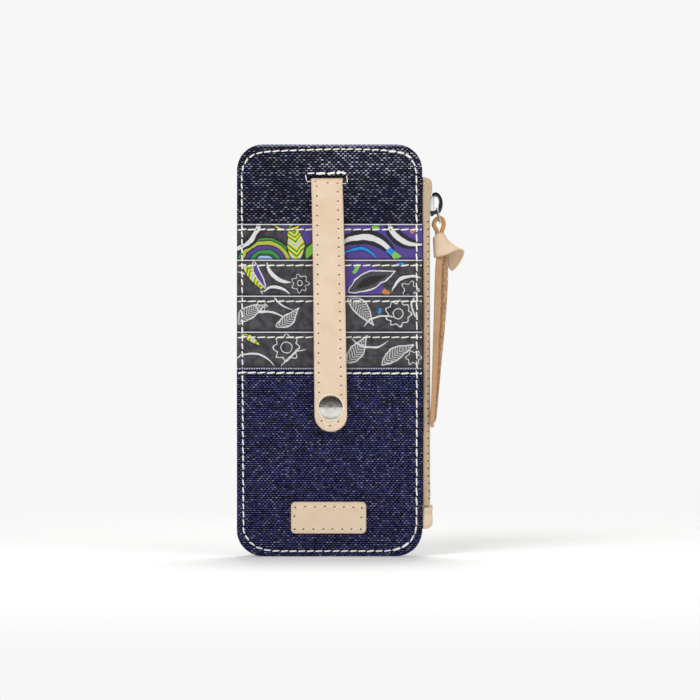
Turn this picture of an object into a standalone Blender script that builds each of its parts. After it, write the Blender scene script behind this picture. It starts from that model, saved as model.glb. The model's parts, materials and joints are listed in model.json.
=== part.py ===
"""Slim card organizer: stepped card pockets, a snap strap and a zip down one side.

It stands upright with its front towards -Y. The origin is in the middle of the back panel's
bottom edge. Lengths are in metres.
"""
import math

import bmesh
import bpy
from mathutils import Vector

MM = 0.001

# Cloth, board and leather thicknesses
DENIM = 0.8 * MM
BOARD = 0.5 * MM
LINING = 0.4 * MM
POCKET_CLOTH = 0.6 * MM
LOWER_CLOTH = 1.0 * MM
TAPE_CLOTH = 0.5 * MM
STRAP_LEATHER = 1.0 * MM
SKIVED_LEATHER = 0.3 * MM
PATCH_LEATHER = 1.2 * MM
LAYER_GAP = 0.2 * MM
SEAM_GAP = 0.3 * MM
EDGE_ROUND = 0.25 * MM

# Body
BODY_WIDTH = 95.0 * MM
BODY_HEIGHT = 211.0 * MM
CORNER_RADIUS = 13.3 * MM
HEM_WIDTH = 8.0 * MM
LINING_INSET = 0.3 * MM
FRONT_PANEL_LIFT = 0.5 * MM
POUCH_DEPTH = 5.2 * MM
POUCH_BOTTOM_Z = 11.0 * MM
POUCH_TOP_MARGIN = 8.0 * MM
POUCH_EASE = 22.0 * MM

# Pockets
CARD_POCKET_COUNT = 4
CARD_POCKETS_BELOW_TOP = 40.8 * MM
CARD_POCKET_PITCH = 18.4 * MM
CARD_POCKET_HEIGHT = 50.0 * MM
LOWER_POCKET_STEP = 18.5 * MM
POCKET_EASE = 2.4 * MM

# Strap, its slot and its snap
STRAP_WIDTH = 16.9 * MM
STRAP_PAST_SNAP = 12.5 * MM
STRAP_TOP_X = -1.0 * MM
STRAP_LEAN = 0.012
STRAP_LIFT_OFF = 0.3 * MM
STRAP_SKIVE_LENGTH = 9.0 * MM
SLOT_WIDTH = 18.0 * MM
SLOT_BELOW_TOP = 19.2 * MM
SLOT_HEIGHT = 3.2 * MM
HINGE_BELOW_SLOT_TOP = 1.6 * MM
ANCHOR_WIDTH = 15.6 * MM
ANCHOR_RISE = 9.0 * MM
ANCHOR_NOSE = 2.0 * MM
ANCHOR_RECESS = 0.6 * MM
ANCHOR_WINDOW_MARGIN = 1.5 * MM
SNAP_X = 0.6 * MM
SNAP_BELOW_POCKET = 20.2 * MM
CAP_RADIUS = 6.2 * MM
CAP_RISE = 1.7 * MM
CAP_RIM = 0.35 * MM
CAP_BARREL_RADIUS = 1.4 * MM
SOCKET_RADIUS = 5.2 * MM
SOCKET_FLOOR = 0.4 * MM
SOCKET_BORE_RADIUS = 2.25 * MM
SOCKET_GROOVE_RADIUS = 3.0 * MM
SPRING_WIRE = 0.4 * MM
STUD_FLANGE_RADIUS = 4.5 * MM
STUD_FLANGE = 0.6 * MM
STUD_RADIUS = 1.95 * MM
STUD_HEIGHT = 1.4 * MM
POST_RADIUS = 1.0 * MM
POST_FLANGE_RADIUS = 4.2 * MM
POST_FLANGE = 0.3 * MM
FIT_GAP = 0.2 * MM

# Label patch
PATCH_WIDTH = 38.6 * MM
PATCH_HEIGHT = 16.3 * MM
PATCH_CORNER = 2.3 * MM
PATCH_CENTRE_X = -0.5 * MM
PATCH_CENTRE_Z = 19.7 * MM

# Zip, along +Z, its chain facing +X
CHAIN_OUT = 3.1 * MM
CHAIN_BELOW_PLY = 2.2 * MM
CHAIN_HALF_WIDTH = 2.7 * MM
CORD_WIDTH = 0.8 * MM
CORD_THICKNESS = 1.2 * MM
TOOTH_THICKNESS = 2.0 * MM
TOOTH_PITCH = 3.0 * MM
TOOTH_ROOT = 1.7 * MM
TOOTH_NECK = 0.9 * MM
TOOTH_HEAD = 1.15 * MM
TOOTH_REACH = 0.6 * MM
TAPE_BOTTOM_Z = 25.6 * MM
TAPE_BELOW_TOP = 16.7 * MM
TAPE_TURN = 7.3 * MM
TAPE_FLARE = 0.25
TAPE_MARGIN = 8.5 * MM
TAPE_HALF_WIDTH = 4.9 * MM
TAPE_NECK_HALF_WIDTH = 4.3 * MM
TAPE_NECK = 5.0 * MM
TAPE_LIP = 0.65 * MM
STOP_HEIGHT = 2.0 * MM
STOP_GRIP = 0.2 * MM
BOTTOM_STOP_Z = 30.6 * MM
RUN_GAP = 0.3 * MM
TAB_BOTTOM_Z = 13.8 * MM
TAB_TOP_Z = 25.3 * MM
TAB_REACH = 5.6 * MM
TAB_CORNER = 3.2 * MM
TAB_HALF_WIDTH = 3.5 * MM
TAB_TONGUE = 5.0 * MM
TAB_TONGUE_THICKNESS = 1.2 * MM

# Slider and its bail
SLIDER_BELOW_TAPE = 20.0 * MM
SLIDER_LENGTH = 10.3 * MM
SLIDER_HALF_WIDTH = 3.7 * MM
SLIDER_PLATE = 1.9 * MM
SLIDER_INNER_PLATE = 0.9 * MM
SLIDER_FLANGE = 0.8 * MM
SLIDER_CORNER = 1.4 * MM
DIAMOND_LENGTH = 3.4 * MM
DIAMOND_HALF_WIDTH = 1.2 * MM
BAIL_THICKNESS = 1.8 * MM
BAIL_WIDTH = 2.4 * MM
BAIL_REACH = 4.4 * MM
BAIL_RISE = 2.1 * MM

# Link and leather pull
LINK_WIRE = 1.4 * MM
LINK_WIDTH = 6.0 * MM
LINK_PLAY = 0.6 * MM
LINK_RISE = 3.9 * MM
LINK_LEAN = 1.7 * MM
LINK_DROP = 7.0 * MM
LACE_THICKNESS = 1.8 * MM
LACE_WIDTH = 2.4 * MM
LACE_LENGTH = 10.6 * MM
WRAP_LEATHER = 1.0 * MM
WRAP_BELOW_LINK = 6.9 * MM
WRAP_LENGTH = 10.5 * MM
WRAP_LEFT = 3.5 * MM
WRAP_RIGHT = 3.3 * MM
WRAP_FLARE = 8.9 * MM
WRAP_DEPTH = 3.1 * MM
WRAP_DEPTH_FLARE = 3.0 * MM
WRAP_DROOP = 7.6 * MM
WRAP_LIFT = 4.6 * MM
TAIL_THICKNESS = 1.6 * MM
TAIL_WIDTH = 3.3 * MM
TAIL_SWAY = 4.3 * MM
TAIL_FORWARD = 6.6 * MM
TAIL_BELOW_LINK = 11.0 * MM
TAIL_LEFT_LENGTH = 96.4 * MM
TAIL_RIGHT_LENGTH = 95.6 * MM

# Positions worked out from the sizes above; the plies' go from back to front
HALF_WIDTH = BODY_WIDTH / 2
POUCH_TOP_Z = BODY_HEIGHT - POUCH_TOP_MARGIN
CARD_POCKET_TOP = BODY_HEIGHT - CARD_POCKETS_BELOW_TOP
LOWER_POCKET_TOP = (CARD_POCKET_TOP - CARD_POCKET_PITCH * (CARD_POCKET_COUNT - 1)
                    - LOWER_POCKET_STEP)
SNAP_Z = LOWER_POCKET_TOP - SNAP_BELOW_POCKET
STRAP_TIP_Z = SNAP_Z - STRAP_PAST_SNAP
SLOT_BOTTOM_Z = BODY_HEIGHT - SLOT_BELOW_TOP
TAPE_TOP_Z = BODY_HEIGHT - TAPE_BELOW_TOP
SLIDER_BOTTOM_Z = TAPE_TOP_Z - SLIDER_BELOW_TAPE
SLIDER_TOP_Z = SLIDER_BOTTOM_Z + SLIDER_LENGTH
CHAIN_X = HALF_WIDTH + CHAIN_OUT
HEM = BOARD + LAYER_GAP
PANEL_EDGE = DENIM + HEM
BACK_Y = PANEL_EDGE / 2
BACK_CLOTH_FRONT = BACK_Y - DENIM
BACK_HEM_FRONT = BACK_CLOTH_FRONT - HEM
POUCH_BACK_Y = BACK_HEM_FRONT - LAYER_GAP - LINING
POUCH_FRONT_Y = POUCH_BACK_Y - SEAM_GAP
FRONT_LINING_Y = POUCH_FRONT_Y - LINING
FRONT_HEM_BACK = FRONT_LINING_Y - LAYER_GAP
FRONT_Y = FRONT_HEM_BACK - PANEL_EDGE
FRONT_CLOTH_BACK = FRONT_Y + DENIM
FRONT_BOARD_Y = FRONT_CLOTH_BACK + LAYER_GAP
PLY_STEP = POCKET_CLOTH + LAYER_GAP
CHAIN_Y = POUCH_FRONT_Y + CHAIN_BELOW_PLY
SLOT_TOP_Z = SLOT_BOTTOM_Z + SLOT_HEIGHT
HINGE_Y = FRONT_Y - STRAP_LIFT_OFF
HINGE_Z = SLOT_TOP_Z - HINGE_BELOW_SLOT_TOP
CHAIN_BOTTOM_Z = BOTTOM_STOP_Z + STOP_HEIGHT + RUN_GAP
CHAIN_TOP_Z = SLIDER_TOP_Z + RUN_GAP / 2
DIAMOND_TIP_Z = SLIDER_TOP_Z - DIAMOND_LENGTH
PLATE_IN_X = CHAIN_X + TOOTH_THICKNESS / 2 + RUN_GAP
INNER_PLATE_OUT_X = CHAIN_X - TOOTH_THICKNESS / 2 - RUN_GAP
PLATE_OUT_X = PLATE_IN_X + SLIDER_PLATE
BAIL_OUT_X = PLATE_OUT_X + BAIL_REACH
LINK_TOP_X = BAIL_OUT_X - BAIL_THICKNESS - LINK_PLAY - LINK_WIRE / 2
LINK_TOP_Z = SLIDER_BOTTOM_Z + LINK_RISE
LINK_BOTTOM_X = LINK_TOP_X + LINK_LEAN
LINK_BOTTOM_Z = LINK_TOP_Z - LINK_DROP
ARC_STEPS = 6
LATHE_STEPS = 20


def clear_scene():
    for obj in list(bpy.data.objects):
        bpy.data.objects.remove(obj)


def make_material(name, colour, roughness, metallic=0.0):
    material = bpy.data.materials.new(name)
    material.use_nodes = True
    shader = material.node_tree.nodes["Principled BSDF"]
    shader.inputs["Base Color"].default_value = (*colour, 1.0)
    shader.inputs["Roughness"].default_value = roughness
    shader.inputs["Metallic"].default_value = metallic
    return material


def denim(name):
    return make_material(name, (0.016, 0.017, 0.055), 0.8)


def print_cloth(name):
    return make_material(name, (0.08, 0.08, 0.10), 0.45)


def leather(name):
    return make_material(name, (0.76, 0.58, 0.42), 0.6)


def lining_cloth(name):
    return make_material(name, (0.10, 0.09, 0.08), 0.9)


def stiff_board(name):
    return make_material(name, (0.55, 0.52, 0.46), 0.85)


def zip_cloth(name):
    return make_material(name, (0.42, 0.33, 0.24), 0.85)


def nickel(name):
    return make_material(name, (0.72, 0.72, 0.72), 0.28, 1.0)


def make_pivot(name, place, parent=None):
    pivot = bpy.data.objects.new(name, None)
    pivot.empty_display_size = 5 * MM
    bpy.context.scene.collection.objects.link(pivot)
    pivot.parent = parent
    pivot.location = place - (pivot_place(parent) if parent else Vector())
    return pivot


def pivot_place(pivot):
    place = Vector(pivot.location)
    while pivot.parent:
        pivot = pivot.parent
        place += pivot.location
    return place


def make_object(name, bm, material=None, pivot=None, smooth=False):
    """Turn a closed bmesh, built in the object's frame, into a named part on its pivot."""
    bmesh.ops.recalc_face_normals(bm, faces=bm.faces)
    if bm.calc_volume(signed=True) < 0:
        bmesh.ops.reverse_faces(bm, faces=bm.faces)
    if pivot:
        bmesh.ops.translate(bm, verts=bm.verts, vec=-pivot_place(pivot))
    mesh = bpy.data.meshes.new(name)
    bm.to_mesh(mesh)
    bm.free()
    if smooth:
        mesh.shade_smooth()
        mesh.set_sharp_from_angle(angle=math.radians(35))
    obj = bpy.data.objects.new(name, mesh)
    bpy.context.scene.collection.objects.link(obj)
    obj.parent = pivot
    if material:
        mesh.materials.append(material(name))
    return obj


def cut(target, cutter):
    cutter.hide_render = True
    cutter.display_type = "WIRE"
    boolean = target.modifiers.new(cutter.name, "BOOLEAN")
    boolean.operation = "DIFFERENCE"
    boolean.solver = "EXACT"
    boolean.object = cutter


def join(target, addition):
    cut(target, addition)
    target.modifiers[addition.name].operation = "UNION"


def loft(rings, closed=False):
    """Skin a list of rings that have as many points each. Open lofts get flat ends."""
    bm = bmesh.new()
    loops = [[bm.verts.new(point) for point in ring] for ring in rings]
    pairs = list(zip(loops, loops[1:]))
    if closed:
        pairs.append((loops[-1], loops[0]))
    for low, high in pairs:
        for i in range(len(low)):
            j = (i + 1) % len(low)
            bm.faces.new((low[i], low[j], high[j], high[i]))
    if not closed:
        bm.faces.new(loops[0])
        bm.faces.new(loops[-1])
    return bm


def lathe(profile, centre):
    """Turn (radius, y) points about the Y axis through the centre."""
    bm = bmesh.new()
    verts = [bm.verts.new((centre.x + r, y, centre.z)) for r, y in profile]
    edges = [bm.edges.new(pair) for pair in zip(verts, verts[1:])]
    if profile[0][0] > 0:
        edges.append(bm.edges.new((verts[-1], verts[0])))
    bmesh.ops.spin(
        bm, geom=verts + edges, cent=centre, axis=(0, 1, 0), angle=math.tau,
        steps=LATHE_STEPS, use_merge=True)
    bmesh.ops.remove_doubles(bm, verts=bm.verts, dist=0.001 * MM)
    return bm


def box(low, high):
    corners = [(low[0], low[1]), (high[0], low[1]), (high[0], high[1]), (low[0], high[1])]
    return loft([[Vector((x, y, z)) for x, y in corners] for z in (low[2], high[2])])


def cylinder_y(centre, radius, y_low, y_high):
    return lathe([(0, y_low), (radius, y_low), (radius, y_high), (0, y_high)], centre)


def smooth_path(points, steps, closed=False):
    """Points on a Catmull-Rom curve through the given ones."""
    count = len(points)
    path = []
    for i in range(count if closed else count - 1):
        if closed:
            p0, p1, p2, p3 = (points[(i + k) % count] for k in (-1, 0, 1, 2))
        else:
            p0, p1, p2, p3 = (points[min(max(i + k, 0), count - 1)] for k in (-1, 0, 1, 2))
        for step in range(steps):
            t = step / steps
            path.append(0.5 * (2 * p1 + (p2 - p0) * t + (2 * p0 - 5 * p1 + 4 * p2 - p3) * t * t
                               + (3 * p1 - p0 - 3 * p2 + p3) * t ** 3))
    if not closed:
        path.append(points[-1])
    return path


def tube(path, in_plane, across, sides, plane_normal, closed=False):
    """Sweep an ellipse along a flat path: one radius in the path's plane, one across it."""
    rings = []
    for i, point in enumerate(path):
        if closed:
            along = path[(i + 1) % len(path)] - path[i - 1]
        else:
            along = path[min(i + 1, len(path) - 1)] - path[max(i - 1, 0)]
        side = along.normalized().cross(plane_normal).normalized()
        ring = []
        for k in range(sides):
            angle = math.tau * (k + 0.5) / sides
            ring.append(point + side * in_plane * math.cos(angle)
                        + plane_normal * across * math.sin(angle))
        rings.append(ring)
    return loft(rings, closed)


def smoothstep(t):
    t = min(max(t, 0.0), 1.0)
    return t * t * (3 - 2 * t)


def pouch_swell(x, z):
    """How far the back stands off the front: nothing at the sewn edges, most at the zip."""
    across = math.sin(math.pi / 2 * min(max((x + HALF_WIDTH) / BODY_WIDTH, 0.0), 1.0))
    low = smoothstep((z - POUCH_BOTTOM_Z) / POUCH_EASE)
    high = smoothstep((POUCH_TOP_Z - z) / POUCH_EASE)
    return POUCH_DEPTH * across * low * high


def flat(x, z):
    return 0.0


def body_half_width(z):
    """Half the body's width at a height, with the rounded corners."""
    r = CORNER_RADIUS
    depth = min(z, BODY_HEIGHT - z)
    if depth >= r:
        return HALF_WIDTH
    return HALF_WIDTH - r + math.sqrt(max(r * r - (r - depth) ** 2, 0.0))


def corner_heights():
    return [CORNER_RADIUS * (1 - math.cos(math.pi / 2 * i / ARC_STEPS))
            for i in range(ARC_STEPS + 1)]


def body_rows(inset, swelling=False):
    """Heights of a body-shaped ply's rows, close together at the corners and the easing."""
    steps = corner_heights()
    if swelling:
        span = (POUCH_TOP_Z - POUCH_BOTTOM_Z) / 2
        middle = span - POUCH_EASE
        steps += [POUCH_BOTTOM_Z + POUCH_EASE * share for share in (0.2, 0.4, 0.6, 0.8, 1.0)]
        steps += [POUCH_BOTTOM_Z + POUCH_EASE + middle * share for share in (0.35, 0.75)]
    steps = [z for z in steps if z > inset + 2 * EDGE_ROUND]
    low = [inset, inset + EDGE_ROUND] + sorted(steps)
    return low + [BODY_HEIGHT - z for z in reversed(low)]


def ply(rows, half_width, front, back, swell=flat, inner_columns=0, centre=None, hem=None):
    """A closed sheet between two surfaces given by height, cut out by its half width.

    hem is (first z, last z, width, y): inside it the back face lies at y, a shallow tray.
    """
    lines = ply_lines(rows, hem)
    bm = bmesh.new()
    fronts = []
    backs = []
    last = len(lines) - 1
    for index, (z, row_inside) in enumerate(lines):
        width = half_width(z)
        middle = centre(z) if centre else 0.0
        front_row = []
        back_row = []
        columns = ply_columns(width, inner_columns, hem)
        for position, (x, column_inside) in enumerate(columns):
            border = index in (0, last) or position in (0, len(columns) - 1)
            tray = hem and row_inside and column_inside
            back_y = hem[3] if tray else back(z)
            pinch = min(EDGE_ROUND, 0.3 * (back_y - front(z))) if border else 0.0
            bend = swell(middle + x, z)
            front_row.append(bm.verts.new((middle + x, front(z) + pinch + bend, z)))
            back_row.append(bm.verts.new((middle + x, back_y - pinch + bend, z)))
        fronts.append(front_row)
        backs.append(back_row)
    skin_grids(bm, fronts, backs)
    bmesh.ops.remove_doubles(bm, verts=bm.verts, dist=0.001 * MM)
    return bm


def ply_lines(rows, hem):
    """(height, inside the tray) from the bottom up; a tray's ends have two rows at one height."""
    if not hem:
        return [(z, False) for z in sorted(rows)]
    low, high = hem[:2]
    lines = [(z, False) for z in sorted(rows) if z < low]
    lines += [(low, False), (low, True)]
    lines += [(z, True) for z in sorted(rows) if low < z < high]
    lines += [(high, True), (high, False)]
    return lines + [(z, False) for z in sorted(rows) if z > high]


def ply_columns(width, inner_columns, hem):
    """(x, inside the tray) across a ply, from left to right."""
    inset = hem[2] if hem else 2 * EDGE_ROUND
    right = [(width - EDGE_ROUND, False), (width, False)]
    if hem:
        right = [(width - inset, True), (width - inset, False)] + right
    inner = []
    for i in range(1, inner_columns + 1):
        inner.append(((width - inset) * (2 * i / (inner_columns + 1) - 1), True))
    left = [(-x, flag) for x, flag in reversed(right)]
    return left + inner + right


def skin_grids(bm, fronts, backs):
    """Join a front and a back grid of vertices into one closed sheet."""
    rows = len(fronts)
    columns = len(fronts[0])
    for grid in (fronts, backs):
        for i in range(rows - 1):
            for j in range(columns - 1):
                bm.faces.new((grid[i][j], grid[i][j + 1], grid[i + 1][j + 1], grid[i + 1][j]))
    for i in (0, rows - 1):
        for j in range(columns - 1):
            bm.faces.new((fronts[i][j], fronts[i][j + 1], backs[i][j + 1], backs[i][j]))
    for j in (0, columns - 1):
        for i in range(rows - 1):
            bm.faces.new((fronts[i][j], fronts[i + 1][j], backs[i + 1][j], backs[i][j]))


def level(y):
    return lambda z: y


def make_front_panel():
    hem = (HEM_WIDTH, BODY_HEIGHT - HEM_WIDTH, HEM_WIDTH, FRONT_CLOTH_BACK)
    rows = [FRONT_PANEL_LIFT + z for z in (0.0, EDGE_ROUND)] + body_rows(0.0)[2:]
    bm = ply(rows, body_half_width, level(FRONT_Y), level(FRONT_HEM_BACK), hem=hem)
    panel = make_object("front_panel", bm, denim)
    slot = box((STRAP_TOP_X - SLOT_WIDTH / 2, FRONT_Y - MM, SLOT_BOTTOM_Z),
               (STRAP_TOP_X + SLOT_WIDTH / 2, FRONT_CLOTH_BACK + DENIM / 4, SLOT_TOP_Z))
    cut(panel, make_object("slot_cutter", slot))


def make_front_stiffener():
    inset = HEM_WIDTH + LAYER_GAP
    bm = ply(body_rows(inset), lambda z: body_half_width(z) - inset,
             level(FRONT_BOARD_Y), level(FRONT_BOARD_Y + BOARD))
    board = make_object("front_stiffener", bm, stiff_board)
    half = ANCHOR_WIDTH / 2 + ANCHOR_WINDOW_MARGIN
    window = box(
        (STRAP_TOP_X - half, FRONT_BOARD_Y - MM, SLOT_BOTTOM_Z - ANCHOR_WINDOW_MARGIN),
        (STRAP_TOP_X + half, FRONT_BOARD_Y + BOARD + MM, BODY_HEIGHT))
    cut(board, make_object("window_cutter", window))


def make_front_lining():
    bm = ply(body_rows(LINING_INSET), lambda z: body_half_width(z) - LINING_INSET,
             level(FRONT_LINING_Y), level(POUCH_FRONT_Y))
    make_object("front_lining", bm, lining_cloth)


def make_back_lining():
    bm = ply(body_rows(LINING_INSET, True), lambda z: body_half_width(z) - LINING_INSET,
             level(POUCH_BACK_Y), level(POUCH_BACK_Y + LINING), pouch_swell, 6)
    make_object("back_lining", bm, lining_cloth)


def make_back_stiffener():
    inset = HEM_WIDTH + LAYER_GAP
    bm = ply(body_rows(inset, True), lambda z: body_half_width(z) - inset, level(BACK_HEM_FRONT),
             level(BACK_HEM_FRONT + BOARD), pouch_swell, 6)
    make_object("back_stiffener", bm, stiff_board)


def make_back_panel():
    """The back cloth, its turned edge facing the front, so it is modelled face down."""
    def mirrored_swell(x, z):
        return -pouch_swell(x, z)

    hem = (HEM_WIDTH, BODY_HEIGHT - HEM_WIDTH, HEM_WIDTH, -BACK_CLOTH_FRONT)
    bm = ply(body_rows(0.0, True), body_half_width, level(-BACK_Y), level(-BACK_HEM_FRONT),
             mirrored_swell, 6, hem=hem)
    for vert in bm.verts:
        vert.co.y = -vert.co.y
    make_object("back_panel", bm, denim)


def card_pocket_top(index):
    return CARD_POCKET_TOP - CARD_POCKET_PITCH * index


def plies_below(count, z):
    """How many of the first card pockets lie under a ply at a height, eased off below each."""
    total = 0.0
    for index in range(count):
        bottom = card_pocket_top(index) - CARD_POCKET_HEIGHT
        total += smoothstep((z - (bottom - POCKET_EASE)) / POCKET_EASE)
    return total


def pocket_back_y(count, z):
    return FRONT_Y - LAYER_GAP - PLY_STEP * plies_below(count, z)


def pocket_rows(count, bottom, top):
    """Rows of a pocket ply: its ends, and the eased steps over the pockets behind it."""
    rows = [top - EDGE_ROUND, top]
    for index in range(count):
        edge = card_pocket_top(index) - CARD_POCKET_HEIGHT
        for share in (0.0, 0.3, 0.7, 1.0):
            z = edge - POCKET_EASE * share
            if bottom + EDGE_ROUND < z < top - EDGE_ROUND:
                rows.append(z)
    return rows


def make_card_pocket(index):
    top = card_pocket_top(index)
    bottom = top - CARD_POCKET_HEIGHT
    rows = [bottom, bottom + EDGE_ROUND] + pocket_rows(index, bottom, top)
    bm = ply(rows, body_half_width, lambda z: pocket_back_y(index, z) - POCKET_CLOTH,
             lambda z: pocket_back_y(index, z))
    make_object(f"card_pocket_{index + 1}", bm, print_cloth)


def lower_front_y(z):
    return pocket_back_y(CARD_POCKET_COUNT, z) - LOWER_CLOTH


def make_lower_pocket():
    rows = [0.0, EDGE_ROUND] + corner_heights()[1:]
    rows += pocket_rows(CARD_POCKET_COUNT, CORNER_RADIUS, LOWER_POCKET_TOP)
    bm = ply(rows, body_half_width, lower_front_y,
             lambda z: pocket_back_y(CARD_POCKET_COUNT, z))
    pocket = make_object("lower_pocket", bm, denim)
    centre = Vector((SNAP_X, 0, SNAP_Z))
    front = lower_front_y(SNAP_Z)
    seat = front + LOWER_CLOTH - POST_FLANGE - FIT_GAP / 2
    bore = [(0, front - MM), (POST_RADIUS + FIT_GAP, front - MM), (POST_RADIUS + FIT_GAP, seat),
            (POST_FLANGE_RADIUS + FIT_GAP, seat), (POST_FLANGE_RADIUS + FIT_GAP, seat + MM),
            (0, seat + MM)]
    cut(pocket, make_object("stud_bore_cutter", lathe(bore, centre)))


def stack_at_snap():
    """Y positions of the snap's pieces, outwards from the lower pocket's face."""
    face = lower_front_y(SNAP_Z)
    flange_back = face - FIT_GAP
    flange_front = flange_back - STUD_FLANGE
    stud_tip = flange_front - STUD_HEIGHT
    socket_mouth = flange_front - FIT_GAP
    socket_floor = stud_tip - FIT_GAP
    socket_back = socket_floor - SOCKET_FLOOR
    strap_back = socket_back - FIT_GAP
    strap_front = strap_back - 2 * STRAP_LEATHER - LAYER_GAP
    return {"face": face, "flange_back": flange_back, "flange_front": flange_front,
            "stud_tip": stud_tip, "mouth": socket_mouth, "floor": socket_floor,
            "socket_back": socket_back, "strap_back": strap_back, "strap_front": strap_front}


def strap_middle_x(z):
    return STRAP_TOP_X + STRAP_LEAN * (HINGE_Z - z)


def strap_back_y(z):
    """The strap's inner face: it leaves the slot flat and bows out over the pockets."""
    rise = stack_at_snap()["strap_back"] - HINGE_Y
    share = min((HINGE_Z - z) / (HINGE_Z - SNAP_Z), 1.0)
    return HINGE_Y + rise * (1 - (1 - share) ** 2)


def strap_ply_thickness(z):
    share = smoothstep((HINGE_Z - z) / STRAP_SKIVE_LENGTH)
    return SKIVED_LEATHER + (STRAP_LEATHER - SKIVED_LEATHER) * share


def strap_half_width(z):
    r = STRAP_WIDTH / 2
    rise = z - STRAP_TIP_Z
    if rise >= r:
        return r
    return max(math.sqrt(max(r * r - (r - rise) ** 2, 0.0)), r / 5)


def strap_rows():
    r = STRAP_WIDTH / 2
    rows = [STRAP_TIP_Z]
    rows += [STRAP_TIP_Z + r * (1 - math.cos(math.radians(a))) for a in (18, 32, 46, 60, 75, 90)]
    top = HINGE_Z - RUN_GAP / 3
    skive_start = HINGE_Z - STRAP_SKIVE_LENGTH
    steps = 8
    rows += [rows[-1] + (skive_start - rows[-1]) * i / steps for i in range(1, steps + 1)]
    rows += [top - STRAP_SKIVE_LENGTH * share for share in (0.6, 0.3, 0.08)]
    return rows + [top]


def make_strap_ply(name, front, back, pivot):
    bm = ply(strap_rows(), strap_half_width, front, back, centre=strap_middle_x)
    strap = make_object(name, bm, leather, pivot)
    stack = stack_at_snap()
    hole = cylinder_y(Vector((SNAP_X, 0, SNAP_Z)), CAP_BARREL_RADIUS + FIT_GAP,
                      stack["strap_front"] - MM, stack["strap_back"] + MM)
    cut(strap, make_object(name + "_hole_cutter", hole))


def make_strap(pivot):
    def seam_y(z):
        return strap_back_y(z) - strap_ply_thickness(z)

    make_strap_ply("strap_back", seam_y, strap_back_y, pivot)
    make_strap_ply("strap_front", lambda z: seam_y(z) - LAYER_GAP - strap_ply_thickness(z),
                   lambda z: seam_y(z) - LAYER_GAP, pivot)


def make_strap_anchor():
    """The strap's sewn end: a nose in the slot and a flap behind the cloth."""
    low = SLOT_BOTTOM_Z + RUN_GAP
    half = ANCHOR_WIDTH / 2
    profile = [(FRONT_Y + ANCHOR_RECESS, low), (FRONT_BOARD_Y + BOARD, low),
               (FRONT_BOARD_Y + BOARD, low + ANCHOR_RISE), (FRONT_BOARD_Y, low + ANCHOR_RISE),
               (FRONT_BOARD_Y, low + ANCHOR_NOSE), (FRONT_Y + ANCHOR_RECESS, low + ANCHOR_NOSE)]
    sides = (STRAP_TOP_X - half, STRAP_TOP_X + half)
    bm = loft([[Vector((x, y, z)) for y, z in profile] for x in sides])
    make_object("strap_anchor", bm, leather)


def make_snap_cap(pivot):
    stack = stack_at_snap()
    seat = stack["strap_front"] - FIT_GAP
    rim = seat - CAP_RIM
    profile = [(0, rim - CAP_RISE)]
    for angle in (30, 50, 68, 82):
        turn = math.radians(angle)
        profile.append((CAP_RADIUS * math.sin(turn) * 0.97, rim - CAP_RISE * math.cos(turn)))
    profile += [(CAP_RADIUS, rim), (CAP_RADIUS, rim + CAP_RIM / 2), (CAP_RADIUS - CAP_RIM, seat),
                (CAP_BARREL_RADIUS, seat), (CAP_BARREL_RADIUS, stack["floor"] - FIT_GAP / 2),
                (0, stack["floor"] - FIT_GAP / 2)]
    bm = lathe(profile, Vector((SNAP_X, 0, SNAP_Z)))
    make_object("snap_cap", bm, nickel, pivot, smooth=True)


def make_snap_socket(pivot):
    stack = stack_at_snap()
    mouth = stack["mouth"]
    floor = stack["floor"]
    back = stack["socket_back"]
    groove_front = mouth + (floor - mouth) * 0.35
    groove_back = mouth + (floor - mouth) * 0.8
    hole = CAP_BARREL_RADIUS + FIT_GAP
    profile = [(hole, back), (SOCKET_RADIUS - FIT_GAP, back), (SOCKET_RADIUS, back + FIT_GAP),
               (SOCKET_RADIUS, back + 2 * SOCKET_FLOOR), (SOCKET_RADIUS * 0.82, mouth + FIT_GAP),
               (SOCKET_RADIUS * 0.78, mouth), (SOCKET_BORE_RADIUS, mouth),
               (SOCKET_BORE_RADIUS, groove_front), (SOCKET_GROOVE_RADIUS, groove_front),
               (SOCKET_GROOVE_RADIUS, groove_back), (SOCKET_BORE_RADIUS, groove_back),
               (SOCKET_BORE_RADIUS, floor), (hole, floor)]
    bm = lathe(profile, Vector((SNAP_X, 0, SNAP_Z)))
    make_object("snap_socket", bm, nickel, pivot, smooth=True)


def make_snap_spring(pivot):
    """An open ring of wire in the socket's groove, round the stud."""
    stack = stack_at_snap()
    y = stack["mouth"] + (stack["floor"] - stack["mouth"]) * 0.575
    radius = (SOCKET_BORE_RADIUS + SOCKET_GROOVE_RADIUS) / 2
    steps = 18
    path = []
    for i in range(steps + 1):
        angle = math.radians(120 + 300 * i / steps)
        path.append(Vector((SNAP_X + radius * math.cos(angle), y,
                            SNAP_Z + radius * math.sin(angle))))
    wire = SPRING_WIRE / 2
    bm = tube(path, wire, wire, 6, Vector((0, 1, 0)))
    make_object("snap_spring", bm, nickel, pivot, smooth=True)


def make_snap_stud():
    stack = stack_at_snap()
    tip = stack["stud_tip"]
    front = stack["flange_front"]
    back = stack["flange_back"]
    bore = POST_RADIUS + FIT_GAP
    rim = STUD_FLANGE_RADIUS
    profile = [(0, tip), (STUD_RADIUS * 0.7, tip), (STUD_RADIUS, tip + STUD_HEIGHT * 0.3),
               (STUD_RADIUS, tip + STUD_HEIGHT * 0.5), (STUD_RADIUS * 0.86, front),
               (rim - STUD_FLANGE / 2, front), (rim, back - STUD_FLANGE / 2), (rim, back),
               (bore, back), (bore, tip + STUD_HEIGHT * 0.45), (0, tip + STUD_HEIGHT * 0.45)]
    make_object("snap_stud", lathe(profile, Vector((SNAP_X, 0, SNAP_Z))), nickel, smooth=True)


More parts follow.
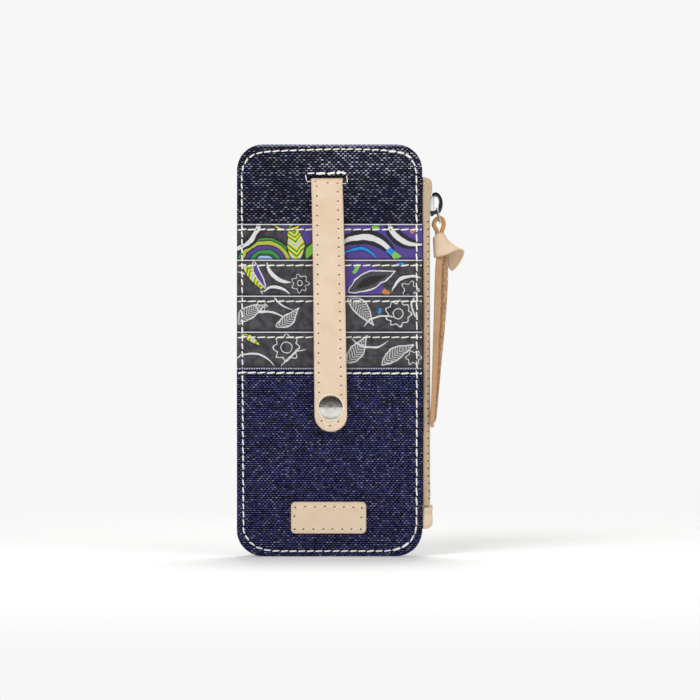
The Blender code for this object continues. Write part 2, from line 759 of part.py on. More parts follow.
def make_snap_post():
    stack = stack_at_snap()
    back = stack["face"] + LOWER_CLOTH
    seat = back - POST_FLANGE
    tip = stack["stud_tip"] + STUD_HEIGHT * 0.45 + FIT_GAP
    profile = [(0, tip), (POST_RADIUS, tip), (POST_RADIUS, seat), (POST_FLANGE_RADIUS, seat),
               (POST_FLANGE_RADIUS, back), (0, back)]
    make_object("snap_post", lathe(profile, Vector((SNAP_X, 0, SNAP_Z))), nickel, smooth=True)


def make_label_patch():
    bottom = PATCH_CENTRE_Z - PATCH_HEIGHT / 2
    r = PATCH_CORNER

    def half_width(z):
        depth = min(z - bottom, bottom + PATCH_HEIGHT - z)
        if depth >= r:
            return PATCH_WIDTH / 2
        return PATCH_WIDTH / 2 - r + math.sqrt(max(r * r - (r - depth) ** 2, 0.0))

    steps = [r * (1 - math.cos(math.radians(a))) for a in (0, 30, 60, 90)]
    rows = [bottom + step for step in steps]
    rows += [bottom + PATCH_HEIGHT - step for step in reversed(steps)]
    back = lower_front_y(PATCH_CENTRE_Z) - LAYER_GAP
    bm = ply(rows, half_width, level(back - PATCH_LEATHER), level(back),
             centre=lambda z: PATCH_CENTRE_X)
    make_object("label_patch", bm, leather)


def tape_turn(z):
    """1 along the zip, falling to almost nothing where the tape turns in at the top."""
    share = min(max((z - TAPE_TOP_Z + TAPE_TURN) / TAPE_TURN, 0.0), 0.99)
    return math.sqrt(1 - share ** 2)


def tape_half_width(z):
    share = smoothstep((z - TAPE_BOTTOM_Z) / TAPE_NECK)
    return TAPE_NECK_HALF_WIDTH + (TAPE_HALF_WIDTH - TAPE_NECK_HALF_WIDTH) * share


def tape_line(z, side):
    """The tape's middle line at a height, from inside the seam out to the chain.

    side is -1 for the front tape and 1 for the back one.
    """
    half = TAPE_CLOTH / 2
    seam = LAYER_GAP + half
    seam_y = POUCH_FRONT_Y + seam
    if side > 0:
        seam_y = POUCH_BACK_Y + pouch_swell(HALF_WIDTH, z) - seam
    seam_x = HALF_WIDTH + half
    reach = CHAIN_X - seam_x
    wide = tape_half_width(z)
    cord = CHAIN_HALF_WIDTH + LAYER_GAP
    turn = tape_turn(z)
    spread = turn * (1 + TAPE_FLARE * smoothstep((z - TAPE_TOP_Z + TAPE_TURN) / (TAPE_TURN / 2)))
    shape = [(0.14 * reach, 0.62), (0.56 * reach, 0.92), (0.98 * reach, 1.0),
             (reach + TAPE_LIP, 0.82), (reach + TAPE_LIP * 0.8, 0.62), (reach * 1.03, 0.36),
             (reach, 0.0)]
    line = [(HALF_WIDTH - TAPE_MARGIN, seam_y), (seam_x, seam_y)]
    for step, share in shape:
        y = CHAIN_Y + side * (cord + (wide - cord) * share)
        line.append((seam_x + step * spread, seam_y + (y - seam_y) * turn))
    return line


def thicken_line(line, thickness):
    """A closed outline round an open line of (x, y) points."""
    left = []
    right = []
    for i in range(len(line)):
        before = Vector(line[max(i - 1, 0)])
        after = Vector(line[min(i + 1, len(line) - 1)])
        along = (after - before).normalized()
        normal = Vector((-along.y, along.x)) * thickness / 2
        left.append(Vector(line[i]) + normal)
        right.append(Vector(line[i]) - normal)
    return left + right[::-1]


def make_zip_tape(name, side):
    heights = [TAPE_BOTTOM_Z + TAPE_NECK * i / 3 for i in range(4)]
    low = POUCH_BOTTOM_Z + POUCH_EASE
    high = POUCH_TOP_Z - POUCH_EASE
    heights += [low + (high - low) * i / 4 for i in range(5)]
    turn_start = TAPE_TOP_Z - TAPE_TURN
    heights += [(high + turn_start) / 2]
    heights += [turn_start + TAPE_TURN * share for share in (0.0, 0.25, 0.5, 0.7, 0.85, 0.95, 1.0)]
    rings = []
    for z in heights:
        outline = thicken_line(tape_line(z, side), TAPE_CLOTH)
        rings.append([Vector((p.x, p.y, z)) for p in outline])
    make_object(name, loft(rings), zip_cloth, smooth=True)


def tooth_heights(offset):
    """Middle heights of one row's teeth, from the lower end up to the slider's divider."""
    heights = []
    z = CHAIN_BOTTOM_Z + TOOTH_ROOT / 2 + RUN_GAP + offset
    while z < DIAMOND_TIP_Z - TOOTH_ROOT / 2 - RUN_GAP:
        heights.append(z)
        z += TOOTH_PITCH
    return heights


def tooth_outline(z, side):
    """(y, z) round one tooth, from the cord's lower corner out to the head and back."""
    root = CHAIN_HALF_WIDTH - CORD_WIDTH
    points = [(root, TOOTH_ROOT / 2), (root * 0.45, TOOTH_NECK / 2),
              (-TOOTH_REACH * 0.2, TOOTH_HEAD / 2), (-TOOTH_REACH, TOOTH_NECK * 0.3)]
    low = [(CHAIN_Y + side * y, z - half) for y, half in points]
    high = [(CHAIN_Y + side * y, z + half) for y, half in reversed(points)]
    return low + high


def make_zip_teeth(name, side, offset):
    """A comb in one piece: a cord with a row of teeth that pass between the other row's."""
    bm = bmesh.new()
    outer_y = CHAIN_Y + side * CHAIN_HALF_WIDTH
    inner_y = CHAIN_Y + side * (CHAIN_HALF_WIDTH - CORD_WIDTH)
    cord_x = (CHAIN_X - CORD_THICKNESS / 2, CHAIN_X + CORD_THICKNESS / 2)
    tooth_x = (CHAIN_X - TOOTH_THICKNESS / 2, CHAIN_X + TOOTH_THICKNESS / 2)
    teeth = tooth_heights(offset)
    levels = [CHAIN_BOTTOM_Z]
    for z in teeth:
        levels += [z - TOOTH_ROOT / 2, z + TOOTH_ROOT / 2]
    levels.append(CHAIN_TOP_Z)
    outer = [[bm.verts.new((x, outer_y, z)) for x in cord_x] for z in levels]
    inner = [[bm.verts.new((x, inner_y, z)) for x in cord_x] for z in levels]
    for i in range(len(levels) - 1):
        bm.faces.new((outer[i][0], outer[i][1], outer[i + 1][1], outer[i + 1][0]))
        for k in (0, 1):
            bm.faces.new((outer[i][k], inner[i][k], inner[i + 1][k], outer[i + 1][k]))
        if i % 2 == 0:
            bm.faces.new((inner[i][0], inner[i][1], inner[i + 1][1], inner[i + 1][0]))
    for end in (0, len(levels) - 1):
        bm.faces.new((outer[end][0], outer[end][1], inner[end][1], inner[end][0]))
    for index, z in enumerate(teeth):
        below = inner[2 * index + 1]
        above = inner[2 * index + 2]
        outline = tooth_outline(z, side)
        faces = [[bm.verts.new((x, y, height)) for y, height in outline] for x in tooth_x]
        for k in (0, 1):
            bm.faces.new(faces[k])
            bm.faces.new((faces[k][0], below[k], above[k], faces[k][-1]))
        for i in range(1, len(outline) - 2):
            bm.faces.new((faces[0][i], faces[0][i + 1], faces[1][i + 1], faces[1][i]))
        bm.faces.new((faces[0][0], below[0], below[1], faces[1][0], faces[1][1], faces[0][1]))
        bm.faces.new((faces[0][-1], above[0], above[1], faces[1][-1], faces[1][-2], faces[0][-2]))
    make_object(name, bm, nickel)


def make_zip_stops():
    grip = TOOTH_THICKNESS / 2 + STOP_GRIP
    low = CHAIN_TOP_Z + RUN_GAP / 2
    for name, side in (("zip_top_stop_front", -1), ("zip_top_stop_back", 1)):
        ends = sorted((CHAIN_Y + side * CHAIN_HALF_WIDTH / 2, CHAIN_Y + side * CHAIN_HALF_WIDTH))
        bm = box((CHAIN_X - grip, ends[0], low), (CHAIN_X + grip, ends[1], low + STOP_HEIGHT))
        bmesh.ops.bevel(bm, geom=bm.edges[:], offset=STOP_GRIP, segments=1, affect="EDGES")
        make_object(name, bm, nickel)
    bm = box((CHAIN_X - grip, CHAIN_Y - CHAIN_HALF_WIDTH, BOTTOM_STOP_Z),
             (CHAIN_X + grip, CHAIN_Y + CHAIN_HALF_WIDTH, BOTTOM_STOP_Z + STOP_HEIGHT))
    bmesh.ops.bevel(bm, geom=bm.edges[:], offset=STOP_GRIP, segments=1, affect="EDGES")
    make_object("zip_bottom_stop", bm, nickel)


def make_zip_end_tab():
    """Leather folded round the zip's lower end, its tongue sewn between the linings."""
    rings = []
    steps = 5
    heights = [TAB_BOTTOM_Z + TAB_CORNER * (1 - math.cos(math.pi / 2 * i / steps))
               for i in range(steps + 1)]
    heights += [TAB_TOP_Z - EDGE_ROUND, TAB_TOP_Z]
    start = HALF_WIDTH + SEAM_GAP
    for z in heights:
        room = SEAM_GAP + pouch_swell(HALF_WIDTH, z)
        middle = POUCH_FRONT_Y + room / 2
        drop = max(TAB_CORNER - (z - TAB_BOTTOM_Z), 0.0)
        reach = HALF_WIDTH + TAB_REACH - TAB_CORNER + math.sqrt(TAB_CORNER ** 2 - drop ** 2)
        wide = TAB_HALF_WIDTH * (0.72 + 0.28 * smoothstep((z - TAB_BOTTOM_Z) / TAB_CORNER))
        tongue = min(TAB_TONGUE_THICKNESS, 0.7 * room) / 2
        if z == TAB_TOP_Z:
            wide -= EDGE_ROUND
            reach -= EDGE_ROUND
        ring = [(HALF_WIDTH - TAB_TONGUE, middle - tongue), (start, middle - tongue),
                (start, middle - wide)]
        for angle in (-70, -45, -20, 0, 20, 45, 70):
            turn = math.radians(angle)
            ring.append((start + (reach - start) * math.cos(turn), middle + wide * math.sin(turn)))
        ring += [(start, middle + wide), (start, middle + tongue),
                 (HALF_WIDTH - TAB_TONGUE, middle + tongue)]
        rings.append([Vector((x, y, z)) for x, y in ring])
    make_object("zip_end_tab", loft(rings), leather, smooth=True)


def slider_outline(half_width, inset=0.0):
    """(y, z) round a slider plate: square shoulders above, drawn in towards its lower end."""
    low = SLIDER_BOTTOM_Z + inset
    high = SLIDER_TOP_Z - inset
    wide = half_width - inset
    narrow = wide * 0.86
    r = SLIDER_CORNER
    right = [(narrow - r, low), (narrow - r * 0.3, low + r * 0.3), (narrow, low + r),
             (wide, low + SLIDER_LENGTH * 0.6), (wide, high - r), (wide - r * 0.3, high - r * 0.3),
             (wide - r, high)]
    return right + [(-y, z) for y, z in reversed(right)]


def slider_plate(x_low, x_high, half_width, crown):
    """A plate that is drawn in by its crown on its outer face."""
    rings = []
    for x, inset in ((x_low, crown[0]), (x_low + crown[0], 0.0), (x_high - crown[1], 0.0),
                     (x_high, crown[1])):
        outline = slider_outline(half_width, inset)
        ring = [Vector((x, CHAIN_Y + y, z)) for y, z in outline]
        if not rings or (ring[0] - rings[-1][0]).length > 0:
            rings.append(ring)
    return loft(rings)


def make_slider_body(pivot):
    crown = SLIDER_PLATE * 0.4
    outer = slider_plate(PLATE_IN_X, PLATE_OUT_X, SLIDER_HALF_WIDTH, (0.0, crown))
    body = make_object("slider_body", outer, nickel, pivot)
    inner_half = SLIDER_HALF_WIDTH - FIT_GAP
    inner = slider_plate(INNER_PLATE_OUT_X - SLIDER_INNER_PLATE, INNER_PLATE_OUT_X, inner_half,
                         (SLIDER_INNER_PLATE * 0.4, 0.0))
    join(body, make_object("inner_plate_guide", inner, pivot=pivot))
    top = SLIDER_TOP_Z - RUN_GAP
    overlap = SLIDER_INNER_PLATE / 3
    wedge = [(0, DIAMOND_TIP_Z), (DIAMOND_HALF_WIDTH, top - DIAMOND_HALF_WIDTH),
             (DIAMOND_HALF_WIDTH * 0.8, top), (-DIAMOND_HALF_WIDTH * 0.8, top),
             (-DIAMOND_HALF_WIDTH, top - DIAMOND_HALF_WIDTH)]
    ends = (INNER_PLATE_OUT_X - overlap, PLATE_IN_X + overlap)
    diamond = loft([[Vector((x, CHAIN_Y + y, z)) for y, z in wedge] for x in ends])
    join(body, make_object("diamond_guide", diamond, pivot=pivot))
    low = SLIDER_BOTTOM_Z + SLIDER_CORNER
    high = SLIDER_TOP_Z - SLIDER_CORNER
    sides = (CHAIN_X + TAPE_CLOTH / 2 + RUN_GAP, PLATE_IN_X + overlap)
    inner_y = CHAIN_HALF_WIDTH + FIT_GAP
    outer_y = inner_y + SLIDER_FLANGE
    drawn_in = SLIDER_HALF_WIDTH * 0.07
    for name, side in (("front", -1), ("back", 1)):
        rings = []
        for z, outer in ((low, outer_y - drawn_in), ((low + high) / 2, outer_y), (high, outer_y)):
            near, far = CHAIN_Y + side * inner_y, CHAIN_Y + side * outer
            rings.append([Vector((x, y, z)) for x, y in (
                (sides[0], near), (sides[1], near), (sides[1], far), (sides[0], far))])
        join(body, make_object(f"flange_{name}_guide", loft(rings), pivot=pivot))


def bail_path():
    """The bail's middle line in the XZ plane, from its upper foot round to its lower one.

    Its lower outer corner runs round the link's upper wire.
    """
    half = BAIL_THICKNESS / 2
    head = SLIDER_TOP_Z
    top = head + BAIL_RISE - half
    out = BAIL_OUT_X - half
    run = BAIL_THICKNESS / 2 + LINK_WIRE / 2 + RUN_GAP
    points = [(PLATE_OUT_X - 0.9 * MM, head - 0.5 * MM), (PLATE_OUT_X - 0.5 * MM, head + 0.7 * MM),
              (PLATE_OUT_X + 0.9 * MM, top), (out - 1.0 * MM, top - 0.8 * MM),
              (out, top - 3.2 * MM), (out, (top + LINK_TOP_Z) / 2 - 1.4 * MM)]
    for angle in (-20, -50, -80):
        turn = math.radians(angle)
        points.append((LINK_TOP_X + run * math.cos(turn), LINK_TOP_Z + run * math.sin(turn)))
    points.append((PLATE_OUT_X - 0.4 * MM, LINK_TOP_Z - run - 0.3 * MM))
    return smooth_path([Vector((x, CHAIN_Y, z)) for x, z in points], 2)


def make_slider_bail(pivot):
    bm = tube(bail_path(), BAIL_THICKNESS / 2, BAIL_WIDTH / 2, 8, Vector((0, 1, 0)))
    bail = make_object("slider_bail", bm, nickel, pivot, smooth=True)
    body = box((INNER_PLATE_OUT_X, CHAIN_Y - BAIL_WIDTH, SLIDER_BOTTOM_Z - MM),
               (PLATE_OUT_X + FIT_GAP, CHAIN_Y + BAIL_WIDTH, SLIDER_TOP_Z + FIT_GAP))
    cut(bail, make_object("bail_foot_cutter", body, pivot=pivot))


def link_point(along, across):
    """A point in the link's plane: along it from its top wire, across it in Y."""
    top = Vector((LINK_TOP_X, CHAIN_Y, LINK_TOP_Z))
    bottom = Vector((LINK_BOTTOM_X, CHAIN_Y, LINK_BOTTOM_Z))
    return top + (bottom - top) * along + Vector((0, across, 0))


def make_pull_ring(pivot):
    """An oval wire link, edge-on to the front: it hangs through the bail."""
    half = (LINK_WIDTH - LINK_WIRE) / 2
    length = math.hypot(LINK_BOTTOM_X - LINK_TOP_X, LINK_BOTTOM_Z - LINK_TOP_Z)
    bend = half * 0.8
    share = bend / length
    path = []
    steps = 6
    for i in range(steps + 1):
        turn = math.pi * i / steps
        path.append(link_point(1 - share + share * math.sin(turn), half * math.cos(turn)))
    for i in range(steps + 1):
        turn = math.pi * i / steps
        path.append(link_point(share - share * math.sin(turn), -half * math.cos(turn)))
    normal = (link_point(1, 0) - link_point(0, 0)).cross(Vector((0, 1, 0))).normalized()
    bm = tube(path, LINK_WIRE / 2, LINK_WIRE / 2, 8, normal, closed=True)
    make_object("pull_ring", bm, nickel, pivot, smooth=True)


def make_tassel_loop(pivot):
    """A flat leather lace looped over the link, its two ends down in the wrap."""
    half = LACE_THICKNESS / 2
    middle = LINK_BOTTOM_X - 0.2 * MM
    top = LINK_BOTTOM_Z + LINK_WIRE / 2 + RUN_GAP + half
    low = LINK_BOTTOM_Z - LACE_LENGTH
    points = [(middle - 1.2 * MM, low), (middle - 1.2 * MM, low + 4.2 * MM),
              (middle - 2.4 * MM, low + 6.6 * MM), (middle - 3.0 * MM, top - 3.4 * MM),
              (middle - 1.9 * MM, top - 0.9 * MM), (middle, top), (middle + 1.5 * MM, top - 0.6 * MM),
              (middle + 2.2 * MM, top - 2.6 * MM), (middle + 1.9 * MM, low + 6.6 * MM),
              (middle + 1.3 * MM, low + 4.2 * MM), (middle + 1.3 * MM, low)]
    path = smooth_path([Vector((x, CHAIN_Y, z)) for x, z in points], 2)
    bm = tube(path, half, LACE_WIDTH / 2, 8, Vector((0, 1, 0)))
    make_object("tassel_loop", bm, leather, pivot, smooth=True)


def wrap_ring(share, inset):
    """One ring of the flared wrap: upright on its left, its flare lifted in front and low behind."""
    neck = LINK_BOTTOM_Z - WRAP_BELOW_LINK
    left = Vector((LINK_BOTTOM_X - WRAP_LEFT, neck - WRAP_LENGTH * share))
    right = Vector((LINK_BOTTOM_X + WRAP_RIGHT + WRAP_FLARE * share,
                    neck + WRAP_LENGTH * (0.05 - 0.9 * share)))
    depth = WRAP_DEPTH + WRAP_DEPTH_FLARE * share - inset
    droop = WRAP_DROOP * share ** 1.4
    lift = WRAP_LIFT * share ** 2
    middle = (left + right) / 2
    half = (right.x - left.x) / 2 - inset
    ring = []
    steps = 20
    for i in range(steps):
        turn = math.tau * i / steps
        behind = max(math.sin(turn), 0.0) ** 4
        before = max(-math.sin(turn), 0.0) * ((1 + math.cos(turn)) / 2) ** 2.5
        z = middle.y + (right.y - left.y) / 2 * math.cos(turn) - droop * behind + lift * before
        ring.append(Vector((middle.x + half * math.cos(turn), CHAIN_Y + depth * math.sin(turn), z)))
    return ring


def make_tassel_wrap(pivot):
    shares = (0.0, 0.25, 0.5, 0.75, 1.0)
    rings = [wrap_ring(share, 0.0) for share in shares]
    rings += [wrap_ring(share, WRAP_LEATHER) for share in reversed(shares)]
    make_object("tassel_wrap", loft(rings, closed=True), leather, pivot, smooth=True)


def make_tail(name, shape, length, pivot):
    """A hanging leather strip, from the lace down.

    shape lists its sway along X, its sway towards the back, its width and how far down it is, as
    shares of TAIL_SWAY, TAIL_FORWARD, TAIL_WIDTH and the length.
    """
    rings = []
    thick = TAIL_THICKNESS / 2
    bevel = thick * 0.35
    for sway, back, width, down in shape:
        centre = Vector((LINK_BOTTOM_X + sway * TAIL_SWAY, CHAIN_Y + back * TAIL_FORWARD,
                         LINK_BOTTOM_Z - TAIL_BELOW_LINK - down * length))
        half = width * TAIL_WIDTH / 2
        outline = [(-half, -thick + bevel), (-half + bevel, -thick), (half - bevel, -thick),
                   (half, -thick + bevel), (half, thick - bevel), (half - bevel, thick),
                   (-half + bevel, thick), (-half, thick - bevel)]
        rings.append([centre + Vector((dx, dy, 0)) for dx, dy in outline])
    make_object(name, loft(rings), leather, pivot, smooth=True)


def make_tails(pivot):
    left = [(-0.02, -0.14, 0.73, 0.0), (0.05, -0.21, 0.79, 0.065), (-0.14, -0.35, 0.91, 0.147),
            (-0.26, -0.55, 1.0, 0.272), (-0.42, -0.79, 0.97, 0.438), (-0.60, -0.97, 0.88, 0.624),
            (-0.81, -1.0, 0.79, 0.811), (-1.0, -1.0, 0.73, 0.936), (-1.0, -1.0, 0.73, 1.0)]
    right = [(0.65, 0.14, 0.73, 0.0), (0.79, 0.09, 0.79, 0.065), (0.65, -0.03, 0.91, 0.147),
             (0.51, -0.21, 0.97, 0.272), (0.26, -0.45, 0.91, 0.438), (-0.12, -0.68, 0.82, 0.624),
             (-0.44, -0.70, 0.76, 0.811), (-0.67, -0.70, 0.73, 0.936), (-0.67, -0.70, 0.73, 1.0)]
    make_tail("tassel_tail_left", left, TAIL_LEFT_LENGTH, pivot)
    make_tail("tassel_tail_right", right, TAIL_RIGHT_LENGTH, pivot)


def main():
    clear_scene()
    strap_pivot = make_pivot("strap_hinge_axis", Vector((STRAP_TOP_X, HINGE_Y, HINGE_Z)))
    slider_pivot = make_pivot("slider_axis", Vector((CHAIN_X, CHAIN_Y, SLIDER_BOTTOM_Z)))
    ring_pivot = make_pivot("ring_axis", link_point(0, 0), slider_pivot)
    tassel_pivot = make_pivot("tassel_axis", link_point(1, 0), ring_pivot)
    make_front_panel()
    make_front_stiffener()
    make_front_lining()
    make_back_lining()
    make_back_stiffener()
    make_back_panel()
    for index in range(CARD_POCKET_COUNT):
        make_card_pocket(index)
    make_lower_pocket()
    make_strap_anchor()
    make_strap(strap_pivot)
    make_snap_cap(strap_pivot)
    make_snap_socket(strap_pivot)
    make_snap_spring(strap_pivot)
    make_snap_stud()
    make_snap_post()
    make_label_patch()
    make_zip_tape("zip_tape_front", -1)
    make_zip_tape("zip_tape_back", 1)
    make_zip_teeth("zip_teeth_front", -1, 0.0)
    make_zip_teeth("zip_teeth_back", 1, TOOTH_PITCH / 2)
    make_zip_stops()
    make_zip_end_tab()
    make_slider_body(slider_pivot)
    make_slider_bail(slider_pivot)
    make_pull_ring(ring_pivot)
    make_tassel_loop(tassel_pivot)
    make_tassel_wrap(tassel_pivot)
    make_tails(tassel_pivot)


main()
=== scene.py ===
"""Dresses the card organizer's frame: cloth, print, leather, zip, thread and studio."""

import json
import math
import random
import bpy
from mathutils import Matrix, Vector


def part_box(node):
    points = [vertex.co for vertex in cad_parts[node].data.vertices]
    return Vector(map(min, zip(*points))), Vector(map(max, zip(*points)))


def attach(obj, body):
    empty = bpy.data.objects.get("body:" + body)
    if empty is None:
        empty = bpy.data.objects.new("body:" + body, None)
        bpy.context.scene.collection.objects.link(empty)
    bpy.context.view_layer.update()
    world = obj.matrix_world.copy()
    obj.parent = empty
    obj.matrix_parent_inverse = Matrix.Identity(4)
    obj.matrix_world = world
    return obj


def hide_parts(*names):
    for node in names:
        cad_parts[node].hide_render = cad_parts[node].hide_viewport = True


bl_info = {
    "name": "Card Organizer Dresser",
    "version": (1, 0, 0),
    "blender": (4, 5, 0),
    "location": "View3D > Sidebar > Organizer",
    "description": "Woven body, printed pockets, snap strap, side zip and leather pull over a CAD frame",
    "category": "Object",
}

import bmesh
import bpy
from mathutils import Vector

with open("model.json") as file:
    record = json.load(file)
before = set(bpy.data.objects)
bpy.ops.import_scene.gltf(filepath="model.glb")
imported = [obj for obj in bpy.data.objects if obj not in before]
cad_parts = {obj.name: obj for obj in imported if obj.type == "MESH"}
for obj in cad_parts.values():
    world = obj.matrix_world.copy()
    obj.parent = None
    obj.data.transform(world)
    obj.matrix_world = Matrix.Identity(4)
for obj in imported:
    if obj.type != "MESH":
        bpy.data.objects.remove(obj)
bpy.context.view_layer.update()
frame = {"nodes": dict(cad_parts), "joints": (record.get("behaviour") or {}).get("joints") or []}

MM = 0.001


def low(node):
    return Vector(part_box(node)[0])


def high(node):
    return Vector(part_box(node)[1])


def joint_place(name):
    return next(Vector(joint["pos_m"]) for joint in frame["joints"] if joint["name"] == name)


# Where the frame has each piece
HALF_WIDTH = high("front_panel").x
BODY_HEIGHT = high("front_panel").z
CORNER_RADIUS = 13.3 * MM
FRONT_Y = low("front_panel").y
LAYER_GAP = 0.2 * MM
POCKETS = ("card_pocket_1", "card_pocket_2", "card_pocket_3", "card_pocket_4")
POCKET_TOPS = [high(node).z for node in POCKETS]
POCKET_BOTTOMS = [low(node).z for node in POCKETS]
POCKET_CLOTH = 0.6 * MM
POCKET_EASE = 2.4 * MM
LOWER_CLOTH = 1.0 * MM
LOWER_TOP = high("lower_pocket").z
POUCH_FRONT_Y = high("front_lining").y
POUCH_BACK_Y = low("back_lining").y
BACK_HEM_FRONT = low("back_panel").y
HEM = 0.7 * MM
PANEL_CLOTH = 0.8 * MM
LINING = 0.4 * MM
LINING_INSET = 0.3 * MM
POUCH_DEPTH = 5.2 * MM
POUCH_BOTTOM_Z = 11.0 * MM
POUCH_TOP_Z = 203.0 * MM
POUCH_EASE = 22.0 * MM
SEAM_CREASE = 0.10 * MM
CREASE_WIDTH = 0.8 * MM
RIM_WIDTH = 0.45 * MM
STITCH_INSET = 2.6 * MM
HINGE = joint_place("strap_hinge")
SNAP = (low("snap_cap") + high("snap_cap")) / 2
STRAP_HALF = 8.45 * MM
STRAP_TIP_Z = low("strap_front").z
STRAP_LEAN = 0.012
STRAP_LEATHER = 1.0 * MM
STRAP_SKIVED = 0.3 * MM
STRAP_SKIVE_LENGTH = 9.0 * MM
STRAP_RISE = low("strap_back").y + STRAP_LEATHER - HINGE.y
SLOT_LOW = 191.8 * MM
SLOT_HIGH = 193.7 * MM
SLOT_PRESSED = 194.6 * MM
SLOT_HALF = 9.0 * MM
PRESSED_DEPTH = 0.42 * MM
CHAIN_X = (low("zip_teeth_front").x + high("zip_teeth_front").x) / 2
CHAIN_Y = (low("zip_bottom_stop").y + high("zip_bottom_stop").y) / 2
TAPE_LOW = low("zip_tape_front").z
TAPE_HIGH = high("zip_tape_front").z
TAPE_TURN = 7.3 * MM
TAPE_CLOTH = 0.5 * MM
TAPE_NECK = 5.0 * MM
TAPE_LIP = 0.65 * MM
TAPE_FLARE = 0.30
TAPE_STITCH_PITCH = 3.83 * MM
TOOTH_PITCH = 3.0 * MM
RING = joint_place("ring_pivot")
KNOT = joint_place("tassel_swing")
FORWARD = Vector((0, -1, 0))
# The camera looks straight at this place, and its picture is measured at this depth
CAMERA_X = 10.45 * MM
CAMERA_Z = 105.55 * MM
PICTURE_Y = FRONT_Y - 3.25 * MM
BACKDROP = (0.93, 0.93, 0.925, 1.0)


def smoothstep(t):
    t = min(max(t, 0.0), 1.0)
    return t * t * (3 - 2 * t)


def bell(distance, width):
    """1 at no distance, falling to nearly 0 at twice the width."""
    return math.exp(-(distance / width) ** 2)


def in_mm(*points):
    """Points given in mm, as vectors in metres."""
    return [Vector([value * MM for value in point]) for point in points]


def circle(count):
    """Cosine and sine at even steps once round."""
    turns = [math.tau * k / count for k in range(count)]
    return [(math.cos(turn), math.sin(turn)) for turn in turns]


def srgb(red, green, blue):
    """A colour given as it looks on screen, 0 to 255, as the linear values that Blender takes."""
    return tuple(((c / 255 + 0.055) / 1.055) ** 2.4 if c > 10 else c / 255 / 12.92
                 for c in (red, green, blue)) + (1.0,)


def dimmed(colour, share):
    return tuple(c * share for c in colour[:3]) + (1.0,)


def tint(name, description, *colour):
    return bpy.props.FloatVectorProperty(
        name=name, description=description, subtype="COLOR", size=4, min=0.0, max=1.0,
        default=srgb(*colour))


def length(name, description, value):
    return bpy.props.FloatProperty(
        name=name, description=description, default=value, min=0.0, unit="LENGTH",
        subtype="DISTANCE", precision=5)


class OrganizerCloth(bpy.types.PropertyGroup):
    navy: tint("Navy ground", "Ground colour of the woven cloth", 5, 4, 18)
    fleck_white: tint("White fleck", "Weft showing on the upper cloth", 206, 208, 226)
    fleck_blue: tint("Blue fleck", "Weft showing on the lower pocket", 96, 96, 176)
    fleck_grey: tint("Grey fleck", "Duller weft between the blue", 84, 92, 98)
    lining: tint("Lining", "Plain lining of the zip compartment", 92, 84, 78)
    tape: tint("Zip tape", "Twill tape of the zip", 196, 173, 147)
    row_pitch: length("Row pitch", "Height of one woven row", 1.10 * MM)
    fleck_pitch: length("Fleck pitch", "Distance between flecks in a row", 2.35 * MM)


class OrganizerPrint(bpy.types.PropertyGroup):
    slate: tint("Slate", "Ground of the print", 70, 68, 72)
    chalk: tint("Chalk", "Light lines of the print", 212, 212, 212)
    ink: tint("Ink", "Dark lines of the print", 34, 31, 38)
    violet: tint("Violet", "Coloured patches of the print", 80, 60, 138)
    sky: tint("Sky", "Pale blue fields", 156, 184, 226)
    azure: tint("Azure", "Bright blue bars", 28, 132, 206)
    lime: tint("Lime", "Bright green bars", 118, 190, 66)
    leaf: tint("Leaf", "Deep green fields", 52, 142, 62)
    lemon: tint("Lemon", "Yellow stripes", 226, 208, 58)
    clay: tint("Clay", "Small warm patches", 188, 122, 76)


class OrganizerTrim(bpy.types.PropertyGroup):
    leather: tint("Leather", "Undyed leather, grain side", 227, 205, 180)
    leather_dark: tint("Leather shade", "Undyed leather in its mottles and edges", 206, 174, 140)
    raw_edge: tint("Raw leather", "Cut edge and flesh side", 205, 168, 130)
    # The stitch hole colour is painted shade: it fills the flush dark discs that stand for the needle
    # holes.
    hole: tint("Stitch hole", "Inside of a pricked hole", 58, 38, 22)
    thread: tint("Thread", "Light sewing thread", 252, 250, 243)
    strap_thread: tint("Strap thread", "Thread matched to the leather", 252, 236, 208)
    metal: tint("Nickel", "Polished nickel", 222, 220, 216)
    satin_metal: tint("Satin nickel", "Slider and link", 240, 240, 240)
    dark_metal: tint("Dark nickel", "Bail, in a darker plating", 84, 76, 84)
    lace: tint("Lace leather", "Darker oiled leather of the lace", 196, 146, 98)
    thread_radius: length("Thread radius", "Half the thickness of the sewing thread", 0.38 * MM)


class OrganizerStudio(bpy.types.PropertyGroup):
    floor: tint("Floor", "Plain pale floor and backdrop", 244, 244, 243)
    camera_distance: length("Camera distance", "How far the camera stands from the front", 1.5)
    picture_width: length("Picture width", "Width that the picture covers at the front", 0.3580)


def look(group):
    """The settings of cloth, print, trim or studio."""
    return getattr(bpy.context.scene, "organizer_" + group)


class Mask:
    """A value in a node tree. Arithmetic on it adds Math nodes."""

    def __init__(self, pad, socket):
        self.pad = pad
        self.socket = socket

    def __add__(self, other):
        return self.pad.math("ADD", self, other)

    def __sub__(self, other):
        return self.pad.math("SUBTRACT", self, other)

    def __rsub__(self, other):
        return self.pad.math("SUBTRACT", other, self)

    def __mul__(self, other):
        return self.pad.math("MULTIPLY", self, other)

    def __truediv__(self, other):
        return self.pad.math("DIVIDE", self, other)

    def __pow__(self, other):
        return self.pad.math("POWER", self, other)

    def __abs__(self):
        return self.pad.math("ABSOLUTE", self)

    def floor(self):
        return self.pad.math("FLOOR", self)

    def off_middle(self):
        """How far the fraction lies from a half."""
        return abs(self.pad.math("FRACT", self) - 0.5)


